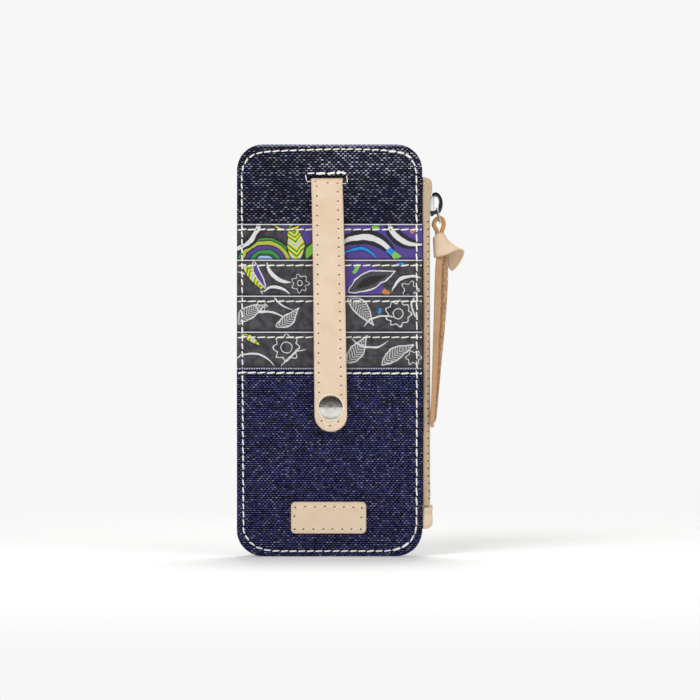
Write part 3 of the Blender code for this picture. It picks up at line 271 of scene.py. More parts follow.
class NodePad:
    """Adds nodes to a tree and wires them, from the coordinates to the shader."""

    def __init__(self, tree):
        self.tree = tree

    def feed(self, socket, value):
        if isinstance(value, Mask):
            self.tree.links.new(value.socket, socket)
        else:
            socket.default_value = value

    def add(self, kind, *values, **settings):
        """A node with its settings, its first inputs fed with the values."""
        node = self.tree.nodes.new(kind)
        for key, value in settings.items():
            setattr(node, key, value)
        for socket, value in zip(node.inputs, values):
            self.feed(socket, value)
        return node

    def out(self, kind, output, *values, **settings):
        return Mask(self, self.add(kind, *values, **settings).outputs[output])

    def math(self, operation, *values, clamp=False):
        return self.out("ShaderNodeMath", 0, *values, operation=operation, use_clamp=clamp)

    def mix(self, factor, first, second):
        node = self.add("ShaderNodeMix", factor, data_type="RGBA", clamp_factor=True)
        self.feed(node.inputs[6], first)
        self.feed(node.inputs[7], second)
        return Mask(self, node.outputs[2])

    def fade(self, value, start, end):
        """0 up to start, 1 from end, eased between them."""
        return self.out("ShaderNodeMapRange", 0, value, start, end,
                        interpolation_type="SMOOTHSTEP")

    def band(self, value, middle, half, soft):
        """1 within half of the middle, falling to 0 over soft."""
        return 1.0 - self.fade(abs(value - middle), half, half + soft)

    def texture(self, kind, output, inputs, **settings):
        node = self.add("ShaderNodeTex" + kind, **settings)
        for key, value in inputs.items():
            self.feed(node.inputs[key], value)
        return Mask(self, node.outputs[output])

    def noise(self, vector, scale, detail=2.0, distortion=0.0):
        """Noise, coarser along one axis where the scale is given for each axis."""
        if isinstance(scale, tuple):
            vector = self.out("ShaderNodeVectorMath", 0, vector, scale, operation="MULTIPLY")
            scale = 1.0
        return self.texture("Noise", 0, {"Vector": vector, "Scale": scale, "Detail": detail,
                                         "Distortion": distortion})

    def split(self, vector):
        return [Mask(self, output) for output in self.add("ShaderNodeSeparateXYZ", vector).outputs]

    def join(self, x, y, z):
        return self.out("ShaderNodeCombineXYZ", 0, x, y, z)

    def random(self, x, y):
        return self.texture("WhiteNoise", "Value", {"Vector": self.join(x, y, 0.0)},
                            noise_dimensions="2D")

    def place(self):
        return self.out("ShaderNodeTexCoord", "Object")

    def effect(self, name, **values):
        """The masks that the node group of that name gives."""
        node = self.add("ShaderNodeGroup", node_tree=effect_tree(name))
        for key, value in values.items():
            self.feed(node.inputs[key.replace("_", " ").capitalize()], value)
        return {output.name: Mask(self, output) for output in node.outputs}

    def coat(self, colour, roughness, bump=(), specular=0.5, metallic=0.0):
        """Feeds the material's shader. bump is a height, its distance and its strength."""
        sockets = self.tree.nodes["Principled BSDF"].inputs
        self.feed(sockets["Base Color"], colour)
        self.feed(sockets["Roughness"], roughness)
        sockets["Specular IOR Level"].default_value = specular
        sockets["Metallic"].default_value = metallic
        if bump:
            node = self.add("ShaderNodeBump")
            for key, value in zip(("Height", "Distance", "Strength"), bump):
                self.feed(node.inputs[key], value)
            self.feed(sockets["Normal"], Mask(self, node.outputs["Normal"]))

    def blend(self, factor, first, second, output):
        """Shows the second shader where the factor is 1."""
        blend = self.out("ShaderNodeMixShader", 0, factor, Mask(self, first.outputs[0]),
                         Mask(self, second.outputs[0]))
        self.feed(self.tree.nodes[output].inputs["Surface"], blend)


EFFECTS = {}
SPOT = ("X", "Z", "Middle x", "Middle z")


def effect(name, *inputs):
    """Keeps a function of the pad and the inputs as the node group of that name."""
    def keep(build):
        EFFECTS[name] = build, inputs
        return build

    return keep


def effect_tree(name):
    """The node group of that name, built when it is first asked for."""
    tree = bpy.data.node_groups.get(name)
    if tree:
        return tree
    tree = bpy.data.node_groups.new(name, "ShaderNodeTree")
    build, inputs = EFFECTS[name]
    for label in inputs:
        kind = "NodeSocketVector" if label == "Place" else "NodeSocketFloat"
        tree.interface.new_socket(label, in_out="INPUT", socket_type=kind)
    pad = NodePad(tree)
    source = pad.add("NodeGroupInput").outputs
    masks = build(pad, {label: Mask(pad, source[label]) for label in inputs})
    for label in masks:
        tree.interface.new_socket(label, in_out="OUTPUT", socket_type="NodeSocketFloat")
    sink = pad.add("NodeGroupOutput")
    for label, mask in masks.items():
        pad.feed(sink.inputs[label], mask)
    return tree


@effect("Woven flecks", "Place", "Row pitch", "Fleck pitch")
def weave_masks(pad, given):
    """Staggered dashes of weft over dark warp, each a little different."""
    x, _, z = pad.split(given["Place"])
    sway = (pad.noise(given["Place"], 60.0) - 0.5) * 0.0006
    height = (z + sway) / given["Row pitch"]
    row = height.floor()
    along = x / given["Fleck pitch"] + (row * 0.5 + pad.random(row, 3.0) * 0.12)
    luck = pad.random(along.floor(), row)
    reach = luck * 0.10 + 0.15
    dash = 1.0 - pad.fade(along.off_middle(), reach, reach + 0.09)
    thick = 1.0 - pad.fade(height.off_middle(), 0.12, 0.32)
    fleck = dash * thick
    return {"Fleck": fleck, "Luck": luck, "Height": fleck + thick * 0.35, "Row": thick}


@effect("Leather grain", "Place", "Pore size")
def grain_masks(pad, given):
    """Fine pores, soft mottles and faint stretch lines of undyed leather."""
    place = given["Place"]
    pores = pad.texture("Voronoi", "Distance", {
        "Vector": place, "Scale": pad.math("DIVIDE", 1.0, given["Pore size"])},
        feature="DISTANCE_TO_EDGE")
    pebble = pad.fade(pores, 0.0, 0.18)
    lines = pad.noise(place, (120.0, 120.0, 900.0))
    return {"Mottle": pad.fade(pad.noise(place, 90.0, 3.0, 0.6), 0.3, 0.72), "Pebble": pebble,
            "Height": pebble * 0.6 + lines * 0.5}


@effect("Tape twill", "Place", "Rib pitch")
def twill_masks(pad, given):
    """Slanted ribs with a finer crossing thread."""
    x, y, z = pad.split(given["Place"])
    rib, thread = (
        1.0 - pad.fade((((x + y) * slope + z) / (given["Rib pitch"] * share)).off_middle(), 0.1, 0.45)
        for slope, share in ((-1.4, 1.0), (1.5, 0.8)))
    return {"Rib": rib, "Height": thread * 0.2 + rib}


def offset(given):
    return given["X"] - given["Middle x"], given["Z"] - given["Middle z"]


def turned(pad, given):
    """The place in a motif's own axes, from its stem or middle."""
    dx, dz = offset(given)
    cos = pad.math("COSINE", given["Turn"])
    sin = pad.math("SINE", given["Turn"])
    return dx * cos + dz * sin, dz * cos - dx * sin


def polar(pad, given):
    """Distance and angle from a motif's middle."""
    dx, dz = offset(given)
    return pad.math("SQRT", dx * dx + dz * dz), pad.math("ARCTAN2", dz, dx)


def stroke(pad, away, width):
    """1 on a line where away is zero, as wide as asked."""
    half = width * 0.5
    return 1.0 - pad.fade(abs(away), half - 0.07, half + 0.07)


@effect("Print leaf", *SPOT, "Turn", "Reach", "Half width", "Bow", "Line", "Vein pitch")
def leaf_masks(pad, given):
    """A bowed leaf from its stem: a filled blade, its outline and slanted veins."""
    u, v = turned(pad, given)
    reach = given["Reach"]
    share = pad.math("DIVIDE", u, reach, clamp=True)
    swell = pad.math("SINE", share ** 0.8 * math.pi)
    v = v - swell * given["Bow"]
    inside = swell * given["Half width"] - abs(v)
    blade = pad.fade(inside, -0.05, 0.05)
    along = pad.fade(u, -0.4, 0.2) * (1.0 - pad.fade(u, reach, reach + 0.5))
    step = (abs(v) * -0.9 + u) / given["Vein pitch"]
    return {"Blade": blade, "Rim": stroke(pad, inside, given["Line"]) * along,
            "Vein": blade * pad.fade(step.off_middle(), 0.22, 0.28),
            "Kind": pad.random(step.floor(), 7.0)}


@effect("Print hoop", *SPOT, "Radius", "Line", "Lobes", "Wave", "Ring pitch", "Seed")
def hoop_masks(pad, given):
    """A hoop, wavy if asked: its disc, its line and the rings inside it."""
    away, turn = polar(pad, given)
    pitch = given["Ring pitch"]
    wave = pad.math("COSINE", turn * given["Lobes"]) * given["Wave"]
    edge = given["Radius"] + wave - away
    near = pad.math("PINGPONG", away, pitch * 0.5)
    return {"Disc": pad.fade(edge, -0.05, 0.05), "Hoop": stroke(pad, edge, given["Line"]),
            "Ring": pad.random((away / pitch).floor(), given["Seed"]),
            "Seam": stroke(pad, near, 0.55)}


@effect("Print ribbon", *SPOT, "Radius", "Start", "Span", "Line", "Border")
def ribbon_masks(pad, given):
    """A brush stroke along part of a circle, swelling at its middle, with a border."""
    away, turn = polar(pad, given)
    share = pad.math("FLOORED_MODULO", turn - given["Start"], math.tau) / given["Span"]
    swell = pad.math("SINE", pad.math("MINIMUM", share, 1.0) * math.pi) ** 0.6
    edge = swell * 0.5 * given["Line"] - abs(away - given["Radius"])
    border = edge + given["Border"] * swell
    on_it = pad.math("LESS_THAN", share, 1.0)
    return {"Stroke": pad.fade(edge, -0.07, 0.07) * on_it,
            "Border": pad.fade(border, -0.07, 0.07) * on_it}


@effect("Print chip", *SPOT, "Turn", "Half length", "Half width")
def chip_masks(pad, given):
    """A small slanted block."""
    u, v = turned(pad, given)
    edge = pad.math("MINIMUM", given["Half length"] - abs(u), given["Half width"] - abs(v))
    return {"Chip": pad.fade(edge, -0.07, 0.07)}


def painted(name, build, *values):
    """The material of that name, painted by build(pad, *values) when it is first asked for."""
    material = bpy.data.materials.get(name)
    if not material:
        material = bpy.data.materials.new(name)
        material.use_nodes = True
        build(NodePad(material.node_tree), *values)
    return material


def upper_denim(pad, front):
    cloth = look("cloth")
    place = pad.place()
    weave = pad.effect("Woven flecks", place=place, row_pitch=cloth.row_pitch,
                       fleck_pitch=cloth.fleck_pitch)
    x, _, z = pad.split(place)
    cloudy = pad.fade(pad.noise(place, 45.0, 3.0), 0.32, 0.68)
    lit = pad.fade(z, 0.192, 0.200) * pad.fade(x, -0.015, -0.010) * 0.48 + (cloudy * 0.18 + 0.34)
    luck = weave["Luck"] ** 2.2 * 1.15 + 0.14
    hue = pad.fade(pad.noise(place, 160.0, 3.0), 0.35, 0.68)
    ridge = pad.mix(hue, srgb(40, 42, 54), srgb(46, 46, 92))
    ground = pad.mix(weave["Row"] * 0.62, cloth.navy, ridge)
    colour = pad.mix(weave["Fleck"] * (lit * luck), ground, cloth.fleck_white)
    # Painted highlight: the top turned edge is drawn lighter and lavender, as if lit from above.
    fold = pad.fade(z, BODY_HEIGHT - 1.5 * MM, BODY_HEIGHT - 0.5 * MM)
    colour = pad.mix(fold * (weave["Fleck"] * 0.5 + 0.28), colour, srgb(188, 188, 222))
    # Painted shade: near-black bands just under the top edge and, on the front, in the slot's mouth,
    # with a painted shadow just above the first pocket.
    dark = pad.band(z, BODY_HEIGHT - 1.9 * MM, 0.25 * MM, 0.3 * MM)
    if front:
        slot = (pad.band(x, HINGE.x, 9.6 * MM, 0.5 * MM)
                * pad.band(z, SLOT_HIGH + 0.1 * MM, 0.3 * MM, 0.6 * MM))
        crease = pad.band(z, POCKET_TOPS[0] + 0.35 * MM, 0.3 * MM, 0.35 * MM)
        dark = pad.math("MAXIMUM", pad.math("MAXIMUM", dark, crease), slot)
    pad.coat(pad.mix(dark * 0.7, colour, srgb(5, 4, 12)), 0.82, (weave["Height"], 0.0003, 0.7),
             specular=0.05)


def lower_denim(pad):
    cloth = look("cloth")
    place = pad.place()
    weave = pad.effect("Woven flecks", place=place, row_pitch=cloth.row_pitch * 0.99,
                       fleck_pitch=cloth.fleck_pitch * 0.82)
    x, _, z = pad.split(place)
    hue = pad.fade(pad.noise(place, (420.0, 420.0, 640.0), 4.0, 0.4), 0.3, 0.68)
    weft = pad.mix(hue, cloth.fleck_grey, cloth.fleck_blue)
    fine = pad.fade(pad.noise(place, (900.0, 900.0, 1300.0)), 0.35, 0.65)
    amount = pad.math("ADD", weave["Fleck"] * (weave["Luck"] * 0.85 + 0.27),
                      weave["Row"] * (fine * 0.42 + 0.02), clamp=True)
    rare = weave["Fleck"] * (pad.fade(weave["Luck"], 0.75, 0.98) * 0.26)
    colour = pad.mix(rare, pad.mix(amount, cloth.navy, weft), cloth.fleck_white)
    # Painted highlight: a pale dotted line along the folded top edge.
    fold_highlight_dots = pad.math("SINE", x * (math.tau / (1.25 * MM)))
    fold = pad.band(z, LOWER_TOP - 0.45 * MM, 0.2 * MM, 0.3 * MM)
    colour = pad.mix(fold * (pad.fade(fold_highlight_dots, -0.6, 0.5) * 0.62 + 0.12), colour, srgb(212, 212, 236))
    # Painted shade: a dark band just under the folded top edge.
    painted_shade_under_fold = pad.band(z, LOWER_TOP - 1.3 * MM, 0.25 * MM, 0.35 * MM)
    pad.coat(pad.mix(painted_shade_under_fold * 0.55, colour, srgb(5, 4, 12)), 0.85,
             (weave["Height"], 0.00025, 0.7), specular=0.05)


def lining_cloth(pad):
    twill = pad.effect("Tape twill", place=pad.place(), rib_pitch=0.0009)
    pad.coat(pad.mix(twill["Rib"], srgb(70, 64, 60), look("cloth").lining), 0.9,
             (twill["Height"], 0.00008, 0.6))


def tape_cloth(pad):
    place = pad.place()
    twill = pad.effect("Tape twill", place=place, rib_pitch=0.0014)
    light = pad.mix(pad.fade(pad.noise(place, 900.0), 0.3, 0.7), look("cloth").tape,
                    srgb(214, 194, 167))
    pad.coat(pad.mix(twill["Rib"], srgb(168, 147, 121), light), 0.85,
             (twill["Height"], 0.00008, 0.5))


def leather(pad, pale, deep, roughness=0.48, flesh=False):
    """Undyed leather, darker at its rims, partly from wear and partly as painted shade. The flesh side
    is fibrous.
    """
    place = pad.place()
    grain = pad.effect("Leather grain", place=place, pore_size=0.0007)
    rim = pad.out("ShaderNodeAttribute", "Fac", attribute_name="rim")
    # Darker where mottled and towards the rims; at the rims this is partly wear and partly painted
    # shade.
    rim_wear_and_shade = pad.math("ADD", grain["Mottle"] * 0.30, rim * 0.62, clamp=True)
    colour = pad.mix(rim_wear_and_shade, pale, deep)
    bump = (grain["Height"], 0.00006, 0.5)
    if flesh:
        fibre = pad.fade(pad.noise(place, (1500.0, 1500.0, 700.0), 3.0), 0.42, 0.62)
        colour = pad.mix(fibre * 0.75, colour, srgb(158, 112, 72))
        speck = pad.fade(pad.noise(place, (2100.0, 2100.0, 1300.0)), 0.57, 0.66)
        colour = pad.mix(speck * 0.85, colour, srgb(226, 190, 152))
        bump = (fibre, 0.0003, 0.9)
    pad.coat(colour, grain["Pebble"] * -0.08 + (roughness + 0.08), bump)


def hide(kind):
    trim = look("trim")
    return painted("leather " + kind, leather, *{
        "smooth": (trim.leather, trim.leather_dark),
        # Much paler leather, a painted highlight: the ring round the snap.
        "lip": (srgb(252, 240, 220), srgb(238, 218, 190)),
        "pull": (srgb(224, 202, 175), trim.raw_edge),
        "tail": (srgb(188, 150, 114), srgb(158, 108, 64), 0.42),
        "lace": (trim.lace, srgb(150, 100, 60), 0.42),
        "raw": (trim.raw_edge, srgb(150, 100, 62), 0.8, True),
    }[kind])


def thread_look(pad, colour):
    twist = pad.texture("Wave", "Fac", {"Vector": pad.place(), "Scale": 900.0, "Distortion": 1.5},
                        bands_direction="DIAGONAL")
    pad.coat(pad.mix(pad.fade(twist, 0.1, 0.6), dimmed(colour, 0.84), colour), 0.6,
             (twist, 0.0001, 0.6))


# Painted shade inside the needle holes: a near-black, speckled colour.
def hole_shade_look(pad):
    hole = look("trim").hole
    speck = pad.fade(pad.noise(pad.place(), 3000.0), 0.3, 0.7)
    pad.coat(pad.mix(speck, dimmed(hole, 0.35), hole), 0.95)


def board_look(pad):
    fibre = pad.noise(pad.place(), (300.0, 300.0, 60.0), 3.0)
    pad.coat(pad.mix(fibre, srgb(150, 142, 128), srgb(186, 178, 162)), 0.85)


def slider_painted_shade(pad, x, z):
    """Painted shade below the plate, where the slider's crotch lies in its own shade."""
    return 1.0 - pad.fade(z, 176.7 * MM, 177.1 * MM)


def link_painted_shade(pad, x, z):
    """Painted shade down the side that hangs against the slider."""
    lean = (KNOT.x - RING.x) / (RING.z - KNOT.z)
    middle = RING.x + lean * RING.z
    return 1.0 - pad.fade(z * lean + x, middle - 0.35 * MM, middle + 0.05 * MM)


def plated_metal(pad, colour, roughness, metallic=1.0, tarnish=None):
    """Nickel with faint wear. The optional last function of pad, x and z gives where shade is painted
    on, in a dark colour.
    """
    place = pad.place()
    wear = pad.noise(place, 420.0, 3.0)
    plate = pad.mix(pad.fade(wear, 0.35, 0.65), dimmed(colour, 0.9), colour)
    if tarnish:
        x, _, z = pad.split(place)
        plate = pad.mix(tarnish(pad, x, z), plate, srgb(52, 46, 40))
    pad.coat(plate, wear * 0.06 + roughness, metallic=metallic)


def nickel(kind):
    trim = look("trim")
    return painted("nickel " + kind, plated_metal, *{
        "bright": (trim.metal, 0.17),
        "dark": (trim.dark_metal, 0.25),
        "satin": (trim.satin_metal, 0.3, 0.4),
        "slider": (trim.satin_metal, 0.3, 0.4, slider_painted_shade),
        "link": (trim.satin_metal, 0.3, 0.4, link_painted_shade),
    }[kind])


# The print on each pocket, in mm from the middle of what shows of it. A kind, its numbers and
# its two colours:
#   disc, ring: x, z, radius, line, lobes, wave
#   fan: x, z, radius, ring pitch, seed
#   ribbon: x, z, radius, start and span in degrees, width, border
#   leaf: stem x, stem z, turn in degrees, reach, half width, bow, vein pitch
#   chip: x, z, turn in degrees, half length, half width
PRINTS = (
    (("disc", 34, 2, 27, 0, 0, 0, "violet", None),
     ("disc", -13, 12, 13, 0, 0, 0, "violet", None),
     ("fan", -33, -13, 15.4, 2.3, 8, None, "ink"),
     ("disc", -33, -13, 6.2, 0.9, 0, 0, "sky", "ink"),
     ("ribbon", -50, 10, 13.5, 250, 150, 2.18, 1.5, "chalk", "ink"),
     ("leaf", -18, -11, 96, 22, 4.6, -1.8, 2.4, "striped", "ink"),
     ("leaf", -12, -9, 58, 14, 2.2, 0.8, 2.0, "lime", "ink"),
     ("ribbon", -22, 15, 9.0, 200, 130, 0.84, 0.6, "lemon", "ink"),
     ("ribbon", 17, -15, 17.5, 18, 128, 3.02, 2.4, "chalk", "ink"),
     ("ribbon", 45, 14, 15.5, 178, 104, 2.69, 2.2, "chalk", "ink"),
     ("chip", 24, 8.3, 62, 2.4, 1.2, "lime", None),
     ("chip", 31, -4.8, -35, 2.0, 1.5, "azure", None),
     ("chip", 34.2, -7.2, -35, 2.0, 1.4, "lime", None),
     ("ribbon", 15, -14, 10.5, 30, 120, 1.68, 0.5, "azure", "ink"),
     ("chip", 43, 5.6, 40, 1.7, 1.1, "clay", None)),
    (("ribbon", -49, -12, 15, 8, 80, 0.92, 0, "chalk", None),
     ("leaf", -45, 7, -52, 18, 2.9, 1.2, 2.2, "striped", "ink"),
     ("leaf", -39, 9, -66, 17, 1.5, -0.8, 3.0, "violet", "chalk"),
     ("ribbon", -20, 10, 12.5, 188, 84, 2.02, 0, "chalk", None),
     ("ribbon", -28, -15, 10, 40, 90, 1.6, 0.8, "chalk", "ink"),
     ("ring", -15, -3, 3.9, 0.7, 7, 0.7, None, "chalk"),
     ("disc", -15, -3, 1.3, 0.6, 0, 0, "ink", "chalk"),
     ("disc", 15, -4, 12.5, 0, 0, 0, "violet", None),
     ("leaf", 10, -7.5, 24, 26, 4.4, 1.4, 60, "slate", "chalk"),
     ("leaf", 14, -5.4, 24, 16, 1.9, 0.6, 60, "ink", "ink"),
     ("chip", 13.5, 4.6, 58, 2.6, 0.9, "lime", None),
     ("chip", 29, -7.6, -30, 2.0, 1.3, "clay", None),
     ("ribbon", 42, -9, 10, 60, 110, 1.6, 0.7, "chalk", "ink"),
     ("ring", 41, -6, 3.6, 0.8, 5, 0.9, None, "chalk"),
     ("chip", 36, 6.9, 12, 1.8, 0.8, "azure", None)),
    (("ribbon", -33, -16, 17, 48, 94, 1.05, 0, "chalk", None),
     ("leaf", -47, -5, 34, 17, 3.2, 1.3, 1.5, "veined", "chalk"),
     ("ribbon", -17, 15, 13, 192, 70, 0.81, 0, "chalk", None),
     ("leaf", -27, -7, 40, 15, 2.7, -1.0, 1.5, "veined", "chalk"),
     ("ring", -35, 4, 2.6, 0.7, 6, 0.5, None, "chalk"),
     ("leaf", 9, 8, -46, 19, 3.6, 1.6, 1.6, "veined", "chalk"),
     ("ribbon", 29, -15, 14, 70, 75, 0.81, 0, "chalk", None),
     ("chip", 25.5, 1.5, 80, 1.5, 0.8, "azure", None),
     ("ring", 35, 0, 6.0, 1.0, 9, 0.7, None, "chalk"),
     ("ring", 35, 0, 2.6, 0.7, 0, 0, None, "chalk"),
     ("ribbon", 51, 4, 9, 130, 100, 0.87, 0, "chalk", None)),
    (("leaf", -46, 8, -30, 13, 1.7, 0.8, 2.0, "striped", "ink"),
     ("ribbon", -40, -16, 14, 30, 104, 0.99, 0, "chalk", None),
     ("ring", -22, 1, 6.2, 1.0, 8, 0.8, None, "chalk"),
     ("ring", -22, 1, 2.8, 0.7, 0, 0, None, "chalk"),
     ("ribbon", -10, -16, 16, 96, 60, 0.81, 0, "chalk", None),
     ("leaf", 8, -7, 52, 18, 3.4, -1.4, 1.6, "veined", "chalk"),
     ("ribbon", 21, 13, 12, 214, 104, 0.93, 0, "chalk", None),
     ("leaf", 27, -8, 34, 19, 3.2, 1.4, 1.6, "veined", "chalk"),
     ("ring", 43, -4, 3.4, 0.8, 6, 0.6, None, "chalk"),
     ("chip", -44, -5.5, 20, 1.3, 1.0, "violet", None)),
)


def disc_layers(pad, inks, spot, fill, edge, radius, line, lobes, wave):
    hoop = pad.effect("Print hoop", **spot, radius=radius, line=line * 0.62, lobes=lobes,
                      wave=wave, ring_pitch=radius)
    return (hoop["Disc"], fill), (hoop["Hoop"], edge)


def fan_layers(pad, inks, spot, fill, edge, radius, pitch, seed):
    fan = pad.effect("Print hoop", **spot, radius=radius, line=1.0, ring_pitch=pitch, seed=seed)
    rings = inks.leaf
    for start, ink in ((0.49, inks.lemon), (0.59, inks.lime), (0.66, inks.violet)):
        rings = pad.mix(pad.fade(fan["Ring"], start, start + 0.02), rings, ink)
    rings = pad.mix(fan["Seam"], rings, getattr(inks, edge))
    return (fan["Disc"], rings), (fan["Hoop"], edge)


def ribbon_layers(pad, inks, spot, fill, edge, radius, start, span, line, border):
    ribbon = pad.effect("Print ribbon", **spot, radius=radius, start=math.radians(start),
                        span=math.radians(span), line=line, border=border)
    return (ribbon["Border"], edge), (ribbon["Stroke"], fill)


def leaf_layers(pad, inks, spot, fill, edge, turn, reach, half_width, bow, pitch):
    leaf = pad.effect("Print leaf", **spot, turn=math.radians(turn), reach=reach,
                      half_width=half_width, bow=bow, line=0.6, vein_pitch=pitch)
    if fill == "striped":
        fill = pad.mix(pad.fade(leaf["Kind"], 0.45, 0.55), inks.leaf, inks.sky)
        fill = pad.mix(leaf["Vein"], fill, inks.lemon)
    elif fill == "veined":
        fill = pad.mix(leaf["Vein"] * 0.6, inks.slate, inks.chalk)
    return (leaf["Blade"], fill), (leaf["Rim"], edge)


def chip_layers(pad, inks, spot, fill, edge, turn, half_length, half_width):
    chip = pad.effect("Print chip", **spot, turn=math.radians(turn), half_length=half_length,
                      half_width=half_width)
    return ((chip["Chip"], fill),)


MOTIFS = {"disc": disc_layers, "ring": disc_layers, "fan": fan_layers, "ribbon": ribbon_layers,
          "leaf": leaf_layers, "chip": chip_layers}


def printed_cloth(pad, index):
    """Slate cloth with chalky lines, violet patches and leaves, in a layout of its own."""
    inks = look("print")
    top, below = (POCKET_TOPS + [LOWER_TOP])[index:index + 2]
    place = pad.place()
    x, _, z = pad.split(place)
    x_mm = x * 1000.0
    z_mm = (z - (top + below) / 2) * 1000.0
    wobble = pad.noise(pad.join(x_mm, z_mm, float(index)), 0.16) - 0.5
    x_mm = wobble * 2.4 + x_mm
    z_mm = wobble * -2.0 + z_mm
    mottle = pad.noise(pad.join(x_mm, z_mm, index * 7.0), 0.3, 4.0)
    colour = pad.mix(pad.fade(mottle, 0.38, 0.66), inks.slate, srgb(42, 40, 48))
    for kind, middle_x, middle_z, *numbers, fill, edge in PRINTS[index]:
        spot = {"x": x_mm, "z": z_mm, "middle_x": middle_x, "middle_z": middle_z}
        for mask, ink in MOTIFS[kind](pad, inks, spot, fill, edge, *numbers):
            if ink:
                ink = getattr(inks, ink) if isinstance(ink, str) else ink
                colour = pad.mix(mask, colour, ink)
    # Painted highlight: a pale line along the folded top edge.
    fold = pad.band(z, top - 0.35 * MM, 0.15 * MM, 0.25 * MM)
    colour = pad.mix(fold * 0.85, colour, srgb(226, 226, 232))
    # Painted shade: a dark band under the fold, and a painted shadow just above the next pocket's top
    # edge.
    dark = pad.math("MAXIMUM", pad.band(z, top - 1.05 * MM, 0.15 * MM, 0.35 * MM),
                    pad.band(z, below + 0.3 * MM, 0.3 * MM, 0.35 * MM))
    twill = pad.effect("Tape twill", place=place, rib_pitch=0.0010)
    pad.coat(pad.mix(dark * 0.72, colour, srgb(14, 12, 20)), 0.4, (twill["Height"], 0.00003, 0.35))


class Outline:
    """A rounded rectangle in x and z about a height, x being from its middle."""

    def __init__(self, height, half_x, half_z, radius):
        self.height = height
        self.half_x = half_x
        self.half_z = half_z
        self.radius = radius

    def inside(self, x, z):
        """How far a point lies inside the outline."""
        r = self.radius
        dx = self.half_x - abs(x)
        dz = self.half_z - abs(z - self.height)
        if dx >= r or dz >= r:
            return min(dx, dz)
        return r - math.hypot(r - dx, r - dz)

    def half_width(self, z):
        r = self.radius
        depth = self.half_z - abs(z - self.height)
        if depth >= r:
            return self.half_x
        return self.half_x - r + math.sqrt(max(r * r - (r - max(depth, 0.0)) ** 2, 0.0))


BODY = Outline(BODY_HEIGHT / 2, HALF_WIDTH, BODY_HEIGHT / 2, CORNER_RADIUS)
LINED = Outline(BODY_HEIGHT / 2, HALF_WIDTH - LINING_INSET, BODY_HEIGHT / 2 - LINING_INSET,
                CORNER_RADIUS - LINING_INSET)


def pouch_swell(x, z):
    across = math.sin(math.pi / 2 * min(max((x + HALF_WIDTH) / (2 * HALF_WIDTH), 0.0), 1.0))
    rise = smoothstep((z - POUCH_BOTTOM_Z) / POUCH_EASE)
    fall = smoothstep((POUCH_TOP_Z - z) / POUCH_EASE)
    return POUCH_DEPTH * across * rise * fall


def pocket_back_y(count, z):
    """The back of the ply that lies over the first pockets, at a height."""
    over = sum(smoothstep((z - (bottom - POCKET_EASE)) / POCKET_EASE)
               for bottom in POCKET_BOTTOMS[:count])
    return FRONT_Y - LAYER_GAP - (POCKET_CLOTH + LAYER_GAP) * over


def front_face_y(x, z):
    """The foremost layer of the front at a height."""
    if z < LOWER_TOP:
        return pocket_back_y(4, z) - LOWER_CLOTH
    for index in (3, 2, 1, 0):
        if z < POCKET_TOPS[index]:
            return pocket_back_y(index, z) - POCKET_CLOTH
    return FRONT_Y


def back_face_y(x, z):
    return BACK_HEM_FRONT + HEM + PANEL_CLOTH + pouch_swell(x, z)


def link(name, data):
    obj = bpy.data.objects.new(name, data)
    bpy.context.scene.collection.objects.link(obj)
    return obj


def mesh_of(name, bm, smooth=True):
    mesh = bpy.data.meshes.new(name)
    bm.to_mesh(mesh)
    bm.free()
    for polygon in mesh.polygons:
        polygon.use_smooth = smooth
    return mesh


def add_piece(name, bm, rims, material, body, slot_name, replaces=()):
    """A visible piece, with the share of rim at each of its points."""
    bmesh.ops.recalc_face_normals(bm, faces=bm.faces)
    if bm.calc_volume(signed=True) < 0:
        bmesh.ops.reverse_faces(bm, faces=bm.faces)
    mesh = mesh_of(name, bm)
    if rims:
        mesh.attributes.new("rim", "FLOAT", "POINT").data.foreach_set("value", rims)
    mesh.materials.append(material)
    obj = link(name, mesh)
    if replaces:
        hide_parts(*replaces)
    if body:
        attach(obj, body)
    return obj


def repaint(material, *nodes):
    for node in nodes:
        materials = frame["nodes"][node].data.materials
        materials.clear()
        materials.append(material)


def soften(node, width):
    """Rounds a metal node's edges with a modifier."""
    bevel = frame["nodes"][node].modifiers.new("edge", "BEVEL")
    bevel.width = width
    bevel.segments = 2
    bevel.limit_method = "ANGLE"
    bevel.angle_limit = math.radians(40)


def bake_modifier(context, obj, kind, **settings):
    modifier = obj.modifiers.new(kind.lower(), kind)
    for key, value in settings.items():
        setattr(modifier, key, value)
    context.view_layer.update()
    shaped = obj.evaluated_get(context.evaluated_depsgraph_get())
    mesh = bpy.data.meshes.new_from_object(shaped)
    obj.modifiers.clear()
    obj.data = mesh


def spread(low_end, high_end, fine, extra=()):
    """Positions from one end to the other, close together at both and every fine between."""
    reach = (high_end - low_end) / 2
    steps = [s * MM for s in (0.0, 0.05, 0.13, 0.26, 0.45, 0.8, 1.3, 1.9, 2.6, 3.3, 4.3, 6.0, 8.0)]
    steps = [step for step in steps if step < reach]
    while steps[-1] + fine < reach:
        steps.append(steps[-1] + fine)
    places = [low_end + s for s in steps] + [high_end - s for s in steps]
    places += [place for place in extra if low_end < place < high_end]
    kept = []
    for place in sorted(set(round(place, 7) for place in places)):
        if not kept or place - kept[-1] > 0.04 * MM:
            kept.append(place)
    kept[-1] = high_end
    return kept


def arc_steps(radius, count, start=0.0):
    """Heights from a start, at even steps round a quarter circle."""
    return [start + radius * (1 - math.cos(math.pi / 2 * i / count)) for i in range(count + 1)]


def ease_steps(count):
    """Heights at which a ply bends over the lower ends of the first pockets."""
    return [edge - POCKET_EASE * share for edge in POCKET_BOTTOMS[:count]
            for share in (0.0, 0.15, 0.3, 0.5, 0.7, 0.85, 1.0)]


